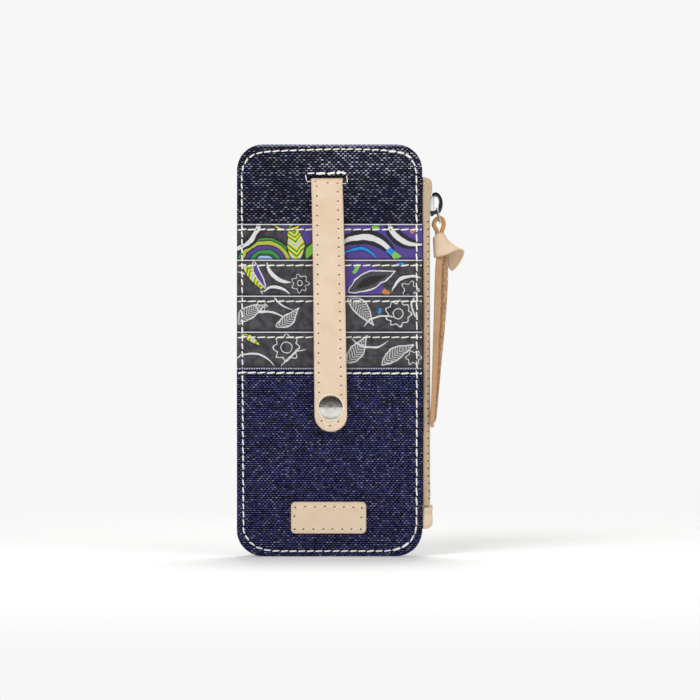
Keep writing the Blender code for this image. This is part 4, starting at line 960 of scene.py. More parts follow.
def body_rows(*extra):
    arc = arc_steps(CORNER_RADIUS, 12)
    return spread(0.0, BODY_HEIGHT, 4.5 * MM, arc + [BODY_HEIGHT - z for z in arc] + list(extra))


def join_rows(bm, first, second):
    """Faces between two rows of points that may differ in number."""
    i = j = 0
    while i < len(first) - 1 or j < len(second) - 1:
        near = i / max(len(first) - 1, 1)
        far = j / max(len(second) - 1, 1)
        if len(first) == len(second):
            bm.faces.new((first[i], first[i + 1], second[i + 1], second[i]))
            i += 1
            j += 1
        elif j >= len(second) - 1 or (i < len(first) - 1 and near <= far):
            bm.faces.new((first[i], first[i + 1], second[j]))
            i += 1
        else:
            bm.faces.new((first[i], second[j + 1], second[j]))
            j += 1


def ply_sheet(rows, half_width, front, back, distance, middle=lambda z: 0.0, fine=4.0 * MM,
              crease=0.0, soften=1.0):
    """A closed ply with rounded edges. front and back give y at (x, z); distance gives how far
    a point is from the cut edge; crease sinks the face along the seam. Returns bmesh and rims."""
    bm = bmesh.new()
    rims = []
    grids = ([], [])
    for z in rows:
        wide = half_width(z)
        grids[0].append([])
        grids[1].append([])
        for x in spread(-wide, wide, fine):
            x_at = middle(z) + x
            d = max(distance(x, z), 0.0)
            y_front = front(x_at, z)
            y_back = back(x_at, z)
            half = (y_back - y_front) / 2
            share = min(d / (half * soften), 1.0)
            plump = math.sqrt(max(1 - (1 - share) ** 2, 0.0))
            sink = crease * bell(d - STITCH_INSET, CREASE_WIDTH)
            for side, grid in zip((-1, 1), grids):
                y = (y_back + y_front) / 2 + side * (half * max(plump, 0.08) - sink)
                grid[-1].append(bm.verts.new((x_at, y, z)))
                rims.append(bell(d, RIM_WIDTH))
    faces = (*zip(grids[0], grids[0][1:]), *zip(grids[1], grids[1][1:]),
             (grids[0][0], grids[1][0]), (grids[0][-1], grids[1][-1]))
    for first, second in faces:
        join_rows(bm, first, second)
    for i in range(len(rows) - 1):
        for j in (0, -1):
            bm.faces.new((grids[0][i][j], grids[0][i + 1][j], grids[1][i + 1][j], grids[1][i][j]))
    return bm, rims


def skin(bm, loops, caps=(0, -1)):
    """Faces between closed loops of points that follow each other, and over the capped ones."""
    for first, second in zip(loops, loops[1:]):
        for i in range(len(first)):
            j = (i + 1) % len(first)
            bm.faces.new((first[i], first[j], second[j], second[i]))
    for end in caps:
        bm.faces.new(loops[end])


def lofted(rings, closed=False):
    bm = bmesh.new()
    loops = [[bm.verts.new(point) for point in ring] for ring in rings]
    if closed:
        skin(bm, loops + loops[:1], ())
    else:
        skin(bm, loops)
    return bm


def smooth_path(points, steps):
    """A curve through the points, with so many steps between two."""
    path = []
    last = len(points) - 1
    for i in range(last):
        p0, p1, p2, p3 = (points[min(max(i + k, 0), last)] for k in (-1, 0, 1, 2))
        for step in range(steps):
            t = step / steps
            path.append(0.5 * (2 * p1 + (p2 - p0) * t + (2 * p0 - 5 * p1 + 4 * p2 - p3) * t * t
                               + (3 * p1 - p0 - 3 * p2 + p3) * t ** 3))
    return path + [points[-1]]


def heading(path, i):
    return (path[min(i + 1, len(path) - 1)] - path[max(i - 1, 0)]).normalized()


def strip_rings(path, widths, half_thick, normals, roundness):
    """Cross sections of a strip: (width along side, thickness along normal) with round edges."""
    rings = []
    r = half_thick * roundness
    for i, point in enumerate(path):
        normal = normals[i].normalized()
        side = heading(path, i).cross(normal).normalized()
        ring = []
        for sx, sy, start in ((1, 1, 0), (-1, 1, 90), (-1, -1, 180), (1, -1, 270)):
            for k in range(4):
                turn = math.radians(start + 30 * k)
                ring.append(point + side * (sx * (widths[i] - r) + r * math.cos(turn))
                            + normal * (sy * (half_thick - r) + r * math.sin(turn)))
        rings.append(ring)
    return rings


class Stitches:
    """Collects short raised stitches into one mesh."""

    def __init__(self, seed):
        self.bm = bmesh.new()
        self.luck = random.Random(seed)

    def add(self, start, end, normal, radius, flat=1.0):
        """One stitch from start to end on a face, its ends pulled down into the cloth."""
        along = end - start
        side = along.normalized().cross(normal).normalized()
        loops = []
        for share, wide, rise in ((0.0, 0.45, -0.5), (0.07, 0.8, 0.0), (0.2, 1.0, 0.55),
                                  (0.5, 1.06, 0.75), (0.8, 1.0, 0.55), (0.93, 0.8, 0.0),
                                  (1.0, 0.45, -0.5)):
            centre = start + along * share + normal * radius * rise * 0.6 * flat
            loops.append([self.bm.verts.new(centre + side * radius * wide * cos
                                            + normal * radius * wide * flat * sin)
                          for cos, sin in circle(8)])
        skin(self.bm, loops)

    def run(self, path, face, normal, radius, beat, slant, heavy=(), pits=None):
        """Stitches along a path of (x, z). face gives y there and beat the pitch and length of
        a stitch; a stitch near a heavy point is sewn over twice. pits takes the needle holes."""
        spans = [(end - start).length for start, end in zip(path, path[1:])]
        total = sum(spans)

        def at(distance):
            for i, span in enumerate(spans):
                if distance <= span or i == len(spans) - 1:
                    return path[i].lerp(path[i + 1], min(distance / span, 1.0))
                distance -= span

        def on_face(spot):
            return Vector((spot.x, face(spot.x, spot.y), spot.y))

        done = 0.0
        while done < total - 1.0 * MM:
            pitch, stitch = beat(at(done))
            if pits and done:
                dimple(pits, on_face(at(done)), 0.44 * MM, 0.3 * MM, 0.8)
            middle = done + pitch / 2
            done += pitch
            half = stitch / 2 * self.luck.uniform(0.94, 1.05)
            first = at(max(middle - half, 0.0))
            last = at(min(middle + half, total))
            along = (last - first).normalized()
            across = Vector((-along.y, along.x)) * slant * self.luck.uniform(0.5, 1.3)
            thick = radius * self.luck.uniform(0.92, 1.1)
            if any((at(middle) - spot).length < 2.6 * MM for spot in heavy):
                thick *= 1.55
            self.add(on_face(first - across), on_face(last + across), normal, thick)

    def finish(self, name, material, body, slot_name):
        add_piece(name, self.bm, None, material, body, slot_name)


def dimple(bm, place, wide, tall, lean):
    """A dark disc of painted shade for the mouth of a needle hole, flush with the face that looks
    towards -Y.
    """
    centre = bm.verts.new(place - Vector((0, 0.035 * MM, 0)))
    cos = math.cos(lean)
    sin = math.sin(lean)
    loops = []
    for scale, y in ((0.6, -0.035 * MM), (1.0, -0.02 * MM), (1.1, 0.08 * MM)):
        sides = [(wide * scale * u, tall * scale * v) for u, v in circle(10)]
        loops.append([bm.verts.new(place + Vector((u * cos - v * sin, y, u * sin + v * cos)))
                      for u, v in sides])
    for k in range(10):
        bm.faces.new((centre, loops[0][k], loops[0][(k + 1) % 10]))
    skin(bm, loops, caps=(-1,))


def prick(name, body, seed, lines, face_y, lean, joined):
    """Slanted holes along lines of (x, z), drawn as dark discs of painted shade, each with a pale stub
    of thread below it as a painted highlight, and thread from hole to hole on lines that have no more
    than the joined number."""
    holes = bmesh.new()
    thread = Stitches(seed)
    for line in lines:
        for x, z in line:
            dimple(holes, Vector((x, face_y(z), z)), 0.48 * MM, 0.38 * MM, lean)
            # A pale stub of thread below each hole: a painted highlight.
            lip = Vector((x + 0.25 * MM, face_y(z) + 0.12 * MM, z - 0.95 * MM))
            thread.add(lip - Vector((0.45 * MM, 0, -0.05 * MM)),
                       lip + Vector((0.35 * MM, 0, 0.15 * MM)), FORWARD, 0.24 * MM)
        if len(line) > joined:
            continue
        spots = [Vector((x, face_y(z) + 0.1 * MM, z)) for x, z in line]
        for start, end in zip(spots, spots[1:]):
            inward = (end - start).normalized() * 0.7 * MM
            thread.add(start + inward, end - inward, FORWARD, 0.2 * MM)
    add_piece(name + "_holes", holes, None, painted("pricked hole", hole_shade_look), body, "leather")
    matched = painted("thread matched", thread_look, look("trim").strap_thread)
    thread.finish(name + "_thread", matched, body, "leather")


class PieceOperator(bpy.types.Operator):
    """What every piece's operator shares"""
    bl_options = {"REGISTER", "UNDO"}

    def execute(self, context):
        self.make(context)
        return {"FINISHED"}


class ORGANIZER_OT_panels(PieceOperator):
    """Front and back cloth, with the strap's slot"""
    bl_idname = "organizer.panels"
    bl_label = "Woven Panels"

    def make(self, context):
        foot = low("front_panel").z
        rows = [foot] + [z for z in body_rows(SLOT_LOW, SLOT_PRESSED) if z > foot + 0.1 * MM]
        shape = ply_sheet(rows, BODY.half_width, lambda x, z: FRONT_Y,
                          lambda x, z: FRONT_Y + PANEL_CLOTH + HEM,
                          lambda x, z: min(BODY.inside(x, z), z - foot), crease=SEAM_CREASE)
        front = add_piece("front_cloth", *shape, painted("denim upper", upper_denim, True), None,
                          "denim", ["front_panel"])
        self.cut_slot(context, front, SLOT_HIGH, PANEL_CLOTH + HEM + MM)
        self.cut_slot(context, front, SLOT_PRESSED, PRESSED_DEPTH)
        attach(front, "body")
        rows = body_rows(POUCH_BOTTOM_Z + POUCH_EASE, POUCH_TOP_Z - POUCH_EASE)
        shape = ply_sheet(rows, BODY.half_width, lambda x, z: BACK_HEM_FRONT + pouch_swell(x, z),
                          back_face_y, BODY.inside, crease=SEAM_CREASE)
        add_piece("back_cloth", *shape, painted("denim back", upper_denim, False), "body",
                  "denim", ["back_panel"])

    def cut_slot(self, context, cloth, top, depth):
        bm = bmesh.new()
        bmesh.ops.create_cube(bm, size=1.0)
        bmesh.ops.scale(bm, vec=(2 * SLOT_HALF, 2 * depth, top - SLOT_LOW), verts=bm.verts)
        tool = link("slot_tool", mesh_of("slot_tool", bm, smooth=False))
        tool.location = (HINGE.x, FRONT_Y, (SLOT_LOW + top) / 2)
        bake_modifier(context, cloth, "BOOLEAN", operation="DIFFERENCE", solver="EXACT",
                      object=tool)
        bpy.data.objects.remove(tool)


class ORGANIZER_OT_linings(PieceOperator):
    """Thin linings of the zip compartment, and the boards behind the cloth"""
    bl_idname = "organizer.linings"
    bl_label = "Linings and Boards"

    def make(self, context):
        size = (2 * LINED.half_x, 2 * LINED.half_z)
        rows = [LINING_INSET + z * size[1] / BODY_HEIGHT for z in body_rows()]
        for name, node, y, swell in (
                ("lining_front", "front_lining", POUCH_FRONT_Y - LINING, lambda x, z: 0.0),
                ("lining_back", "back_lining", POUCH_BACK_Y, pouch_swell)):
            shape = ply_sheet(rows, LINED.half_width, lambda x, z: y + swell(x, z),
                              lambda x, z: y + LINING + swell(x, z), LINED.inside, fine=6 * MM)
            lining = add_piece(name, *shape, painted("lining", lining_cloth), "body", "lining",
                               [node])
            size[0] * size[1] - (4 - math.pi) * CORNER_RADIUS ** 2
        repaint(painted("board", board_look), "front_stiffener", "back_stiffener")


class ORGANIZER_OT_card_pockets(PieceOperator):
    """Four printed pockets with a folded top edge"""
    bl_idname = "organizer.card_pockets"
    bl_label = "Card Pockets"

    def make(self, context):
        for index, node in enumerate(POCKETS):
            top = POCKET_TOPS[index]
            bottom = POCKET_BOTTOMS[index]
            bm, rims = ply_sheet(
                spread(bottom, top, 4.5 * MM, ease_steps(index)), BODY.half_width,
                lambda x, z: pocket_back_y(index, z) - POCKET_CLOTH,
                lambda x, z: pocket_back_y(index, z),
                lambda x, z: min(HALF_WIDTH - abs(x), top - z, z - bottom),
                crease=0.08 * MM, soften=0.9)
            rims = [rim * smoothstep((vert.co.z - top + 2 * MM) / MM)
                    for rim, vert in zip(rims, bm.verts)]
            pocket = add_piece(f"pocket_print_{index + 1}", bm, rims, painted(
                f"printed cloth {index + 1}", printed_cloth, index), "body", "printed_cloth", [node])


class ORGANIZER_OT_lower_pocket(PieceOperator):
    """Deep lower pocket in the body's cloth"""
    bl_idname = "organizer.lower_pocket"
    bl_label = "Lower Pocket"

    def make(self, context):
        rows = spread(0.0, LOWER_TOP, 3.5 * MM, arc_steps(CORNER_RADIUS, 12) + ease_steps(4))
        shape = ply_sheet(rows, BODY.half_width, lambda x, z: pocket_back_y(4, z) - LOWER_CLOTH,
                          lambda x, z: pocket_back_y(4, z),
                          lambda x, z: min(BODY.inside(x, z), LOWER_TOP - z), crease=SEAM_CREASE)
        add_piece("lower_pocket_cloth", *shape, painted("denim lower", lower_denim), "body",
                  "denim", ["lower_pocket"])


def strap_share(z):
    return (z - STRAP_TIP_Z) / (HINGE.z - STRAP_TIP_Z)


def strap_middle(z):
    """The strap leans, and bends a little to the left near its slot."""
    bend = (0.2 - 0.65 * strap_share(z) ** 4) * MM
    return HINGE.x + STRAP_LEAN * (HINGE.z - z) + bend


def strap_trim(z):
    """How much narrower each side is than the CAD, most of all at the top."""
    return (0.08 + 0.32 * strap_share(z)) * MM


def strap_back_y(z):
    share = min((HINGE.z - z) / (HINGE.z - SNAP.z), 1.0)
    return HINGE.y + STRAP_RISE * (1 - (1 - share) ** 2)


def strap_seam_y(z):
    """The back of the grain ply, which thins out towards the slot."""
    share = smoothstep((HINGE.z - z) / STRAP_SKIVE_LENGTH)
    return strap_back_y(z) - (STRAP_SKIVED + (STRAP_LEATHER - STRAP_SKIVED) * share)


def strap_front_y(z):
    """The grain face: its last two millimetres round back into the slot."""
    rounded = 0.26 * MM * max(1 - ((HINGE.z - z) / (2.4 * MM)) ** 2, 0.0)
    return 2 * strap_seam_y(z) - strap_back_y(z) - LAYER_GAP + rounded


def strap_half_width(z):
    side = max(STRAP_HALF - (z - STRAP_TIP_Z), 0.0)
    return max(math.sqrt(max(STRAP_HALF ** 2 - side ** 2, 0.0)) - strap_trim(z), 0.9 * MM)


class ORGANIZER_OT_strap(PieceOperator):
    """Two-ply leather strap, its pricked holes and matched thread"""
    bl_idname = "organizer.strap"
    bl_label = "Strap"

    def make(self, context):
        top = high("strap_front").z
        skive = [top - STRAP_SKIVE_LENGTH * share for share in (0.05, 0.1, 0.15, 0.2, 0.4, 0.6, 0.8)]
        rows = spread(STRAP_TIP_Z, top, 5 * MM, arc_steps(STRAP_HALF, 14, STRAP_TIP_Z) + skive)

        def distance(x, z):
            away = math.hypot(x, max(STRAP_HALF - (z - STRAP_TIP_Z), 0.0))
            return min(STRAP_HALF - strap_trim(z) - away, top - z)

        for name, node, front, back in (
                ("strap_grain", "strap_front", strap_front_y,
                 lambda z: strap_seam_y(z) - LAYER_GAP * 0.4),
                ("strap_backing", "strap_back", lambda z: strap_seam_y(z) - LAYER_GAP * 0.2,
                 strap_back_y)):
            shape = ply_sheet(rows, strap_half_width, lambda x, z: front(z), lambda x, z: back(z),
                              distance, strap_middle, 2.2 * MM, soften=0.9)
            add_piece(name, *shape, hide("smooth"), "strap", "leather", [node])
        sides = ((22, in_mm((-6.55, 189.3), (-5.38, 83.9))), (23, in_mm((4.2, 186.4), (5.99, 82.7))))
        lines = [[start.lerp(end, i / (count - 1)) for i in range(count)]
                 for count, (start, end) in sides]
        lines += [in_mm((-7.27, 191.7), (-1.02, 191.0), (4.1, 190.8)),
                  in_mm((-4.1, 69.4), (0.26, 66.9), (4.5, 69.0))]
        prick("strap", "strap", 5, lines, strap_front_y, -0.7, joined=3)
        self.anchor(context)

    def anchor(self, context):
        """The skived end sewn inside: a tongue behind the cloth with a nose out in the slot."""
        foot = low("strap_anchor")
        head = high("strap_anchor")
        step_y = head.y - 1.0 * MM
        nose = SLOT_HIGH - 0.6 * MM
        outline = [(foot.y, foot.z), (head.y, foot.z), (head.y, head.z), (step_y, head.z),
                   (step_y, nose), (foot.y + 0.1 * MM, nose), (foot.y, nose - 0.2 * MM)]
        bm = lofted([[(x, y, z) for y, z in outline] for x in (foot.x, head.x)])
        tongue = add_piece("anchor_leather", bm, None, hide("smooth"), None, "leather",
                           ["strap_anchor"])
        bake_modifier(context, tongue, "BEVEL", width=0.12 * MM, segments=2)
        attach(tongue, "body")


class ORGANIZER_OT_snap(PieceOperator):
    """Press stud: domed cap, socket, spring, stud and post"""
    bl_idname = "organizer.snap"
    bl_label = "Press Stud"

    def make(self, context):
        repaint(nickel("bright"), "snap_cap", "snap_socket", "snap_spring", "snap_stud",
                "snap_post")
        soften("snap_cap", 0.08 * MM)
        soften("snap_socket", 0.08 * MM)
        # A rolled ring of leather round the cap, much paler than the strap: a painted highlight.
        reach = (high("snap_cap").x - low("snap_cap").x) / 2 + 0.1 * MM
        face = strap_front_y(SNAP.z)
        rings = []
        for cos, sin in circle(48):
            roll = [(reach + 0.5 * MM * out, face - 0.3 * MM * rise) for out, rise in circle(8)]
            rings.append([(SNAP.x + out * cos, y, SNAP.z + out * sin) for out, y in roll])
        add_piece("snap_collar", lofted(rings, closed=True), None, hide("lip"), "strap", "leather")


class ORGANIZER_OT_label(PieceOperator):
    """Bare leather patch with pricked holes and matched thread"""
    bl_idname = "organizer.label"
    bl_label = "Leather Patch"

    def make(self, context):
        start = low("label_patch")
        end = high("label_patch")
        centre = (start + end) / 2
        patch = Outline(centre.z, (end.x - start.x) / 2, (end.z - start.z) / 2, 2.3 * MM)

        def face(x, z):
            return start.y + 0.10 * MM * bell(patch.inside(x - centre.x, z) - 1.9 * MM, 0.5 * MM)

        shape = ply_sheet(spread(start.z, end.z, 1.2 * MM), patch.half_width, face,
                          lambda x, z: end.y, patch.inside, lambda z: centre.x, 1.2 * MM, soften=0.8)
        add_piece("patch_leather", *shape, hide("smooth"), "body", "leather", ["label_patch"])
        upper = in_mm((-17.56, 25.1), (-12.54, 25.4), (-7.42, 25.3), (-2.30, 25.5), (2.51, 25.3),
                      (7.32, 25.2), (12.19, 25.0), (16.54, 24.7))
        lower = in_mm(*[(x, 13.9) for x in (-17.87, -13.41, -8.29, -3.17, 1.43, 6.50, 11.16, 15.97)])
        left, right = in_mm((-18.07, 20.5), (16.28, 19.9))
        lines = (upper, lower, (upper[0], left, lower[0]), (upper[-1], right, lower[-1]))
        prick("patch", "body", 11, lines, lambda z: start.y + 0.03 * MM, -0.5, joined=8)


def tape_line(z, side):
    """The tape's middle line at a height as (x, y), from inside the seam out to the chain."""
    half = TAPE_CLOTH / 2
    seam = LAYER_GAP + half
    seam_y = POUCH_FRONT_Y + seam
    if side > 0:
        seam_y = POUCH_BACK_Y + pouch_swell(HALF_WIDTH, z) - seam
    seam_x = HALF_WIDTH + half
    reach = CHAIN_X - seam_x
    wide = (4.3 + 0.6 * smoothstep((z - TAPE_LOW) / TAPE_NECK)) * MM
    cord = 2.9 * MM
    past = min(max((z - TAPE_HIGH + TAPE_TURN) / TAPE_TURN, 0.0), 0.99)
    turn = math.sqrt(1 - past ** 2)
    flare = smoothstep((z - TAPE_HIGH + 9.3 * MM) / (2.5 * MM))
    spread_x = (1 - past ** 6) ** 0.65 * (1 + TAPE_FLARE * flare)
    line = [Vector((HALF_WIDTH - 8.5 * MM, seam_y)), Vector((seam_x, seam_y))]
    for step, share in ((0.14 * reach, 0.62), (0.56 * reach, 0.92), (0.98 * reach, 1.0),
                        (reach + TAPE_LIP, 0.82), (reach + TAPE_LIP * 0.8, 0.62),
                        (reach * 1.03, 0.36), (reach, 0.0)):
        y = CHAIN_Y + side * (cord + (wide - cord) * share)
        line.append(Vector((seam_x + step * spread_x, seam_y + (y - seam_y) * turn)))
    return line


class ORGANIZER_OT_zip_tapes(PieceOperator):
    """Twill tapes rolled out beside the body"""
    bl_idname = "organizer.zip_tapes"
    bl_label = "Zip Tapes"

    def make(self, context):
        turn_start = TAPE_HIGH - TAPE_TURN
        neck = TAPE_LOW + TAPE_NECK
        heights = [TAPE_LOW + TAPE_NECK * i / 5 for i in range(6)]
        heights += [neck + (turn_start - neck) * i / 36 for i in range(1, 37)]
        heights += [turn_start + TAPE_TURN * math.sin(math.pi / 2 * i / 12) for i in range(1, 13)]
        for name, node, side in (("tape_twill_front", "zip_tape_front", -1),
                                 ("tape_twill_back", "zip_tape_back", 1)):
            bm = lofted([self.section(z, side) for z in heights])
            add_piece(name, bm, None, painted("zip tape", tape_cloth), "body", "zip_cloth", [node])
        self.prick()

    def section(self, z, side):
        line = tape_line(z, side)
        path = line[:1] + smooth_path(line[1:], 3)
        sides = ([], [])
        for i, point in enumerate(path):
            along = heading(path, i) * TAPE_CLOTH / 2
            sides[0].append((point.x - along.y, point.y + along.x, z))
            sides[1].append((point.x + along.y, point.y - along.x, z))
        return sides[0] + sides[1][::-1]

    def prick(self):
        """Stitch holes down the outer roll of the front tape, drawn as dark discs of painted shade."""
        holes = bmesh.new()
        z = 171.3 * MM
        while z > 26 * MM:
            x = HALF_WIDTH + (2.95 + 0.5 * smoothstep((46 * MM - z) / (14 * MM))) * MM
            roll = smooth_path(tape_line(z, -1)[1:], 6)
            y = min(point.y for point in roll if point.x > x - 0.4 * MM) - TAPE_CLOTH / 2
            dimple(holes, Vector((x, y - 0.02 * MM, z)), 0.46 * MM, 0.36 * MM, 0.3)
            z -= TAPE_STITCH_PITCH
        add_piece("tape_holes", holes, None, painted("pricked hole", hole_shade_look), "body",
                  "zip_cloth")


class ORGANIZER_OT_zip_chain(PieceOperator):
    """Cast teeth on their beads, with the stops"""
    bl_idname = "organizer.zip_chain"
    bl_label = "Zip Chain"

    def make(self, context):
        for side_name, side, offset in (("front", -1, 0.0), ("back", 1, TOOTH_PITCH / 2)):
            node = "zip_teeth_" + side_name
            teeth = bmesh.new()
            z = low(node).z + 1.15 * MM + offset
            while z < high("slider_body").z - 4.6 * MM:
                self.tooth(teeth, z, side)
                z += TOOTH_PITCH
            add_piece("teeth_" + side_name, teeth, None, nickel("bright"), "body", "zip_metal",
                      [node])
            bead = lofted([[(CHAIN_X + 0.55 * MM * cos, CHAIN_Y + side * (2.32 + 0.38 * sin) * MM, z)
                            for cos, sin in circle(12)] for z in (low(node).z, high(node).z)])
            add_piece("bead_" + side_name, bead, None, painted("zip tape", tape_cloth), "body",
                      "zip_cloth")
        repaint(nickel("bright"), "zip_top_stop_front", "zip_top_stop_back", "zip_bottom_stop")

    def tooth(self, bm, z, side):
        """One tooth: a clamp on the bead, a waist, and a head with a nib."""
        outline = [(2.75, 0.82), (1.85, 0.86), (1.05, 0.5), (0.35, 0.42), (0.0, 0.62),
                   (-0.42, 0.6), (-0.62, 0.3)]
        outline += [(y, -h) for y, h in reversed(outline)]
        skin(bm, [[bm.verts.new((CHAIN_X + x * MM, CHAIN_Y + side * ((y - 1.1) * size + 1.1) * MM,
                                 z + h * size * MM)) for y, h in outline]
                  for x, size in ((-1.0, 0.84), (-0.86, 1.0), (0.86, 1.0), (1.0, 0.84))])


class ORGANIZER_OT_end_tab(PieceOperator):
    """Leather folded round the lower end of the zip"""
    bl_idname = "organizer.end_tab"
    bl_label = "Zip End Tab"

    def make(self, context):
        start = low("zip_end_tab")
        end = high("zip_end_tab")
        corner = 3.2 * MM
        shoulder = start.z + corner
        heights = arc_steps(corner, 10, start.z)
        heights += [shoulder + (end.z - 0.25 * MM - shoulder) * i / 8 for i in range(1, 9)]
        heights += [end.z - 0.1 * MM, end.z]
        inner = HALF_WIDTH - 5 * MM
        base = HALF_WIDTH + 0.3 * MM
        rings = []
        rims = []
        for z in heights:
            room = 0.3 * MM + pouch_swell(HALF_WIDTH, z)
            middle = POUCH_FRONT_Y + room / 2
            tongue = min(1.2 * MM, 0.7 * room) / 2
            fold = 0.24 * MM * bell(z - end.z + 3.2 * MM, 0.4 * MM)
            shrink = 0.25 * MM * smoothstep((z - end.z + 0.25 * MM) / (0.25 * MM)) + fold
            drop = max(corner - (z - start.z), 0.0)
            reach = end.x - 0.15 * MM - corner + math.sqrt(corner ** 2 - drop ** 2) - shrink
            wide = 3.5 * MM * (0.72 + 0.28 * smoothstep((z - start.z) / corner)) - shrink
            ring = [(inner, middle - tongue), (base, middle - tongue)]
            for k in range(17):
                turn = math.radians(-90 + 180 * k / 16)
                bend = math.copysign(abs(math.sin(turn)) ** 0.8, math.sin(turn))
                ring.append((base + (reach - base) * max(math.cos(turn), 0.0) ** 0.8,
                             middle + wide * bend))
            ring += [(base, middle + tongue), (inner, middle + tongue)]
            rise = smoothstep((z - end.z + 4 * MM) / (4 * MM))
            rings.append([(x, y, z + rise * (max(x - base, 0.0) * 0.2 - 0.3 * MM))
                          for x, y in ring])
            # Rim share: the leather is drawn darker at both ends and along the fold.
            edge = bell(min(z - start.z, end.z - z), 0.4 * MM)
            rims += [min(edge + 2500 * fold, 1.0)] * len(ring)
        add_piece("tab_leather", lofted(rings), rims, hide("smooth"), "body", "leather",
                  ["zip_end_tab"])


class ORGANIZER_OT_slider(PieceOperator):
    """Slider, its bail and the wire link"""
    bl_idname = "organizer.slider"
    bl_label = "Slider and Link"

    def make(self, context):
        repaint(nickel("slider"), "slider_body")
        soften("slider_body", 0.16 * MM)
        self.bail()
        repaint(nickel("link"), "pull_ring")
        rounder = frame["nodes"]["pull_ring"].modifiers.new("round", "SUBSURF")
        rounder.levels = 2
        rounder.render_levels = 2

    def bail(self):
        """A flat arch over the slider, dark outside, with a bright satin strip inside it as a painted
        highlight.
        """
        plate = high("slider_body")
        out = high("slider_bail").x
        top = high("slider_bail").z
        line = [Vector((x + dx * MM, CHAIN_Y, z + dz * MM)) for x, dx, z, dz in (
            (plate.x, -1.0, plate.z, -0.9), (plate.x, -0.5, plate.z, 0.6), (plate.x, 1.1, top, -1.2),
            (out, -2.1, top, -2.1), (out, -1.25, top, -4.2), (out, -1.2, RING.z, 1.6),
            (RING.x, 1.45, RING.z, -0.5), (RING.x, 0.7, RING.z, -1.6), (plate.x, -0.3, RING.z, -1.9))]
        centre = Vector((plate.x + 0.6 * MM, CHAIN_Y, RING.z + 2.0 * MM))
        # The bright satin strip inside the arch is a painted highlight.
        inner = [point + (centre - point).normalized() * 1.15 * MM for point in line[:-3]]
        for name, points, half, wide, kind, replaced in (
                ("bail_arch", line, 1.08 * MM, 1.25 * MM, "dark", ["slider_bail"]),
                ("bail_lining", inner, 0.2 * MM, 1.05 * MM, "satin", ())):
            path = smooth_path(points, 8)
            rings = strip_rings(path, [wide] * len(path), half, [p - centre for p in path], 0.9)
            add_piece(name, lofted(rings), None, nickel(kind), "slider", "zip_metal", replaced)


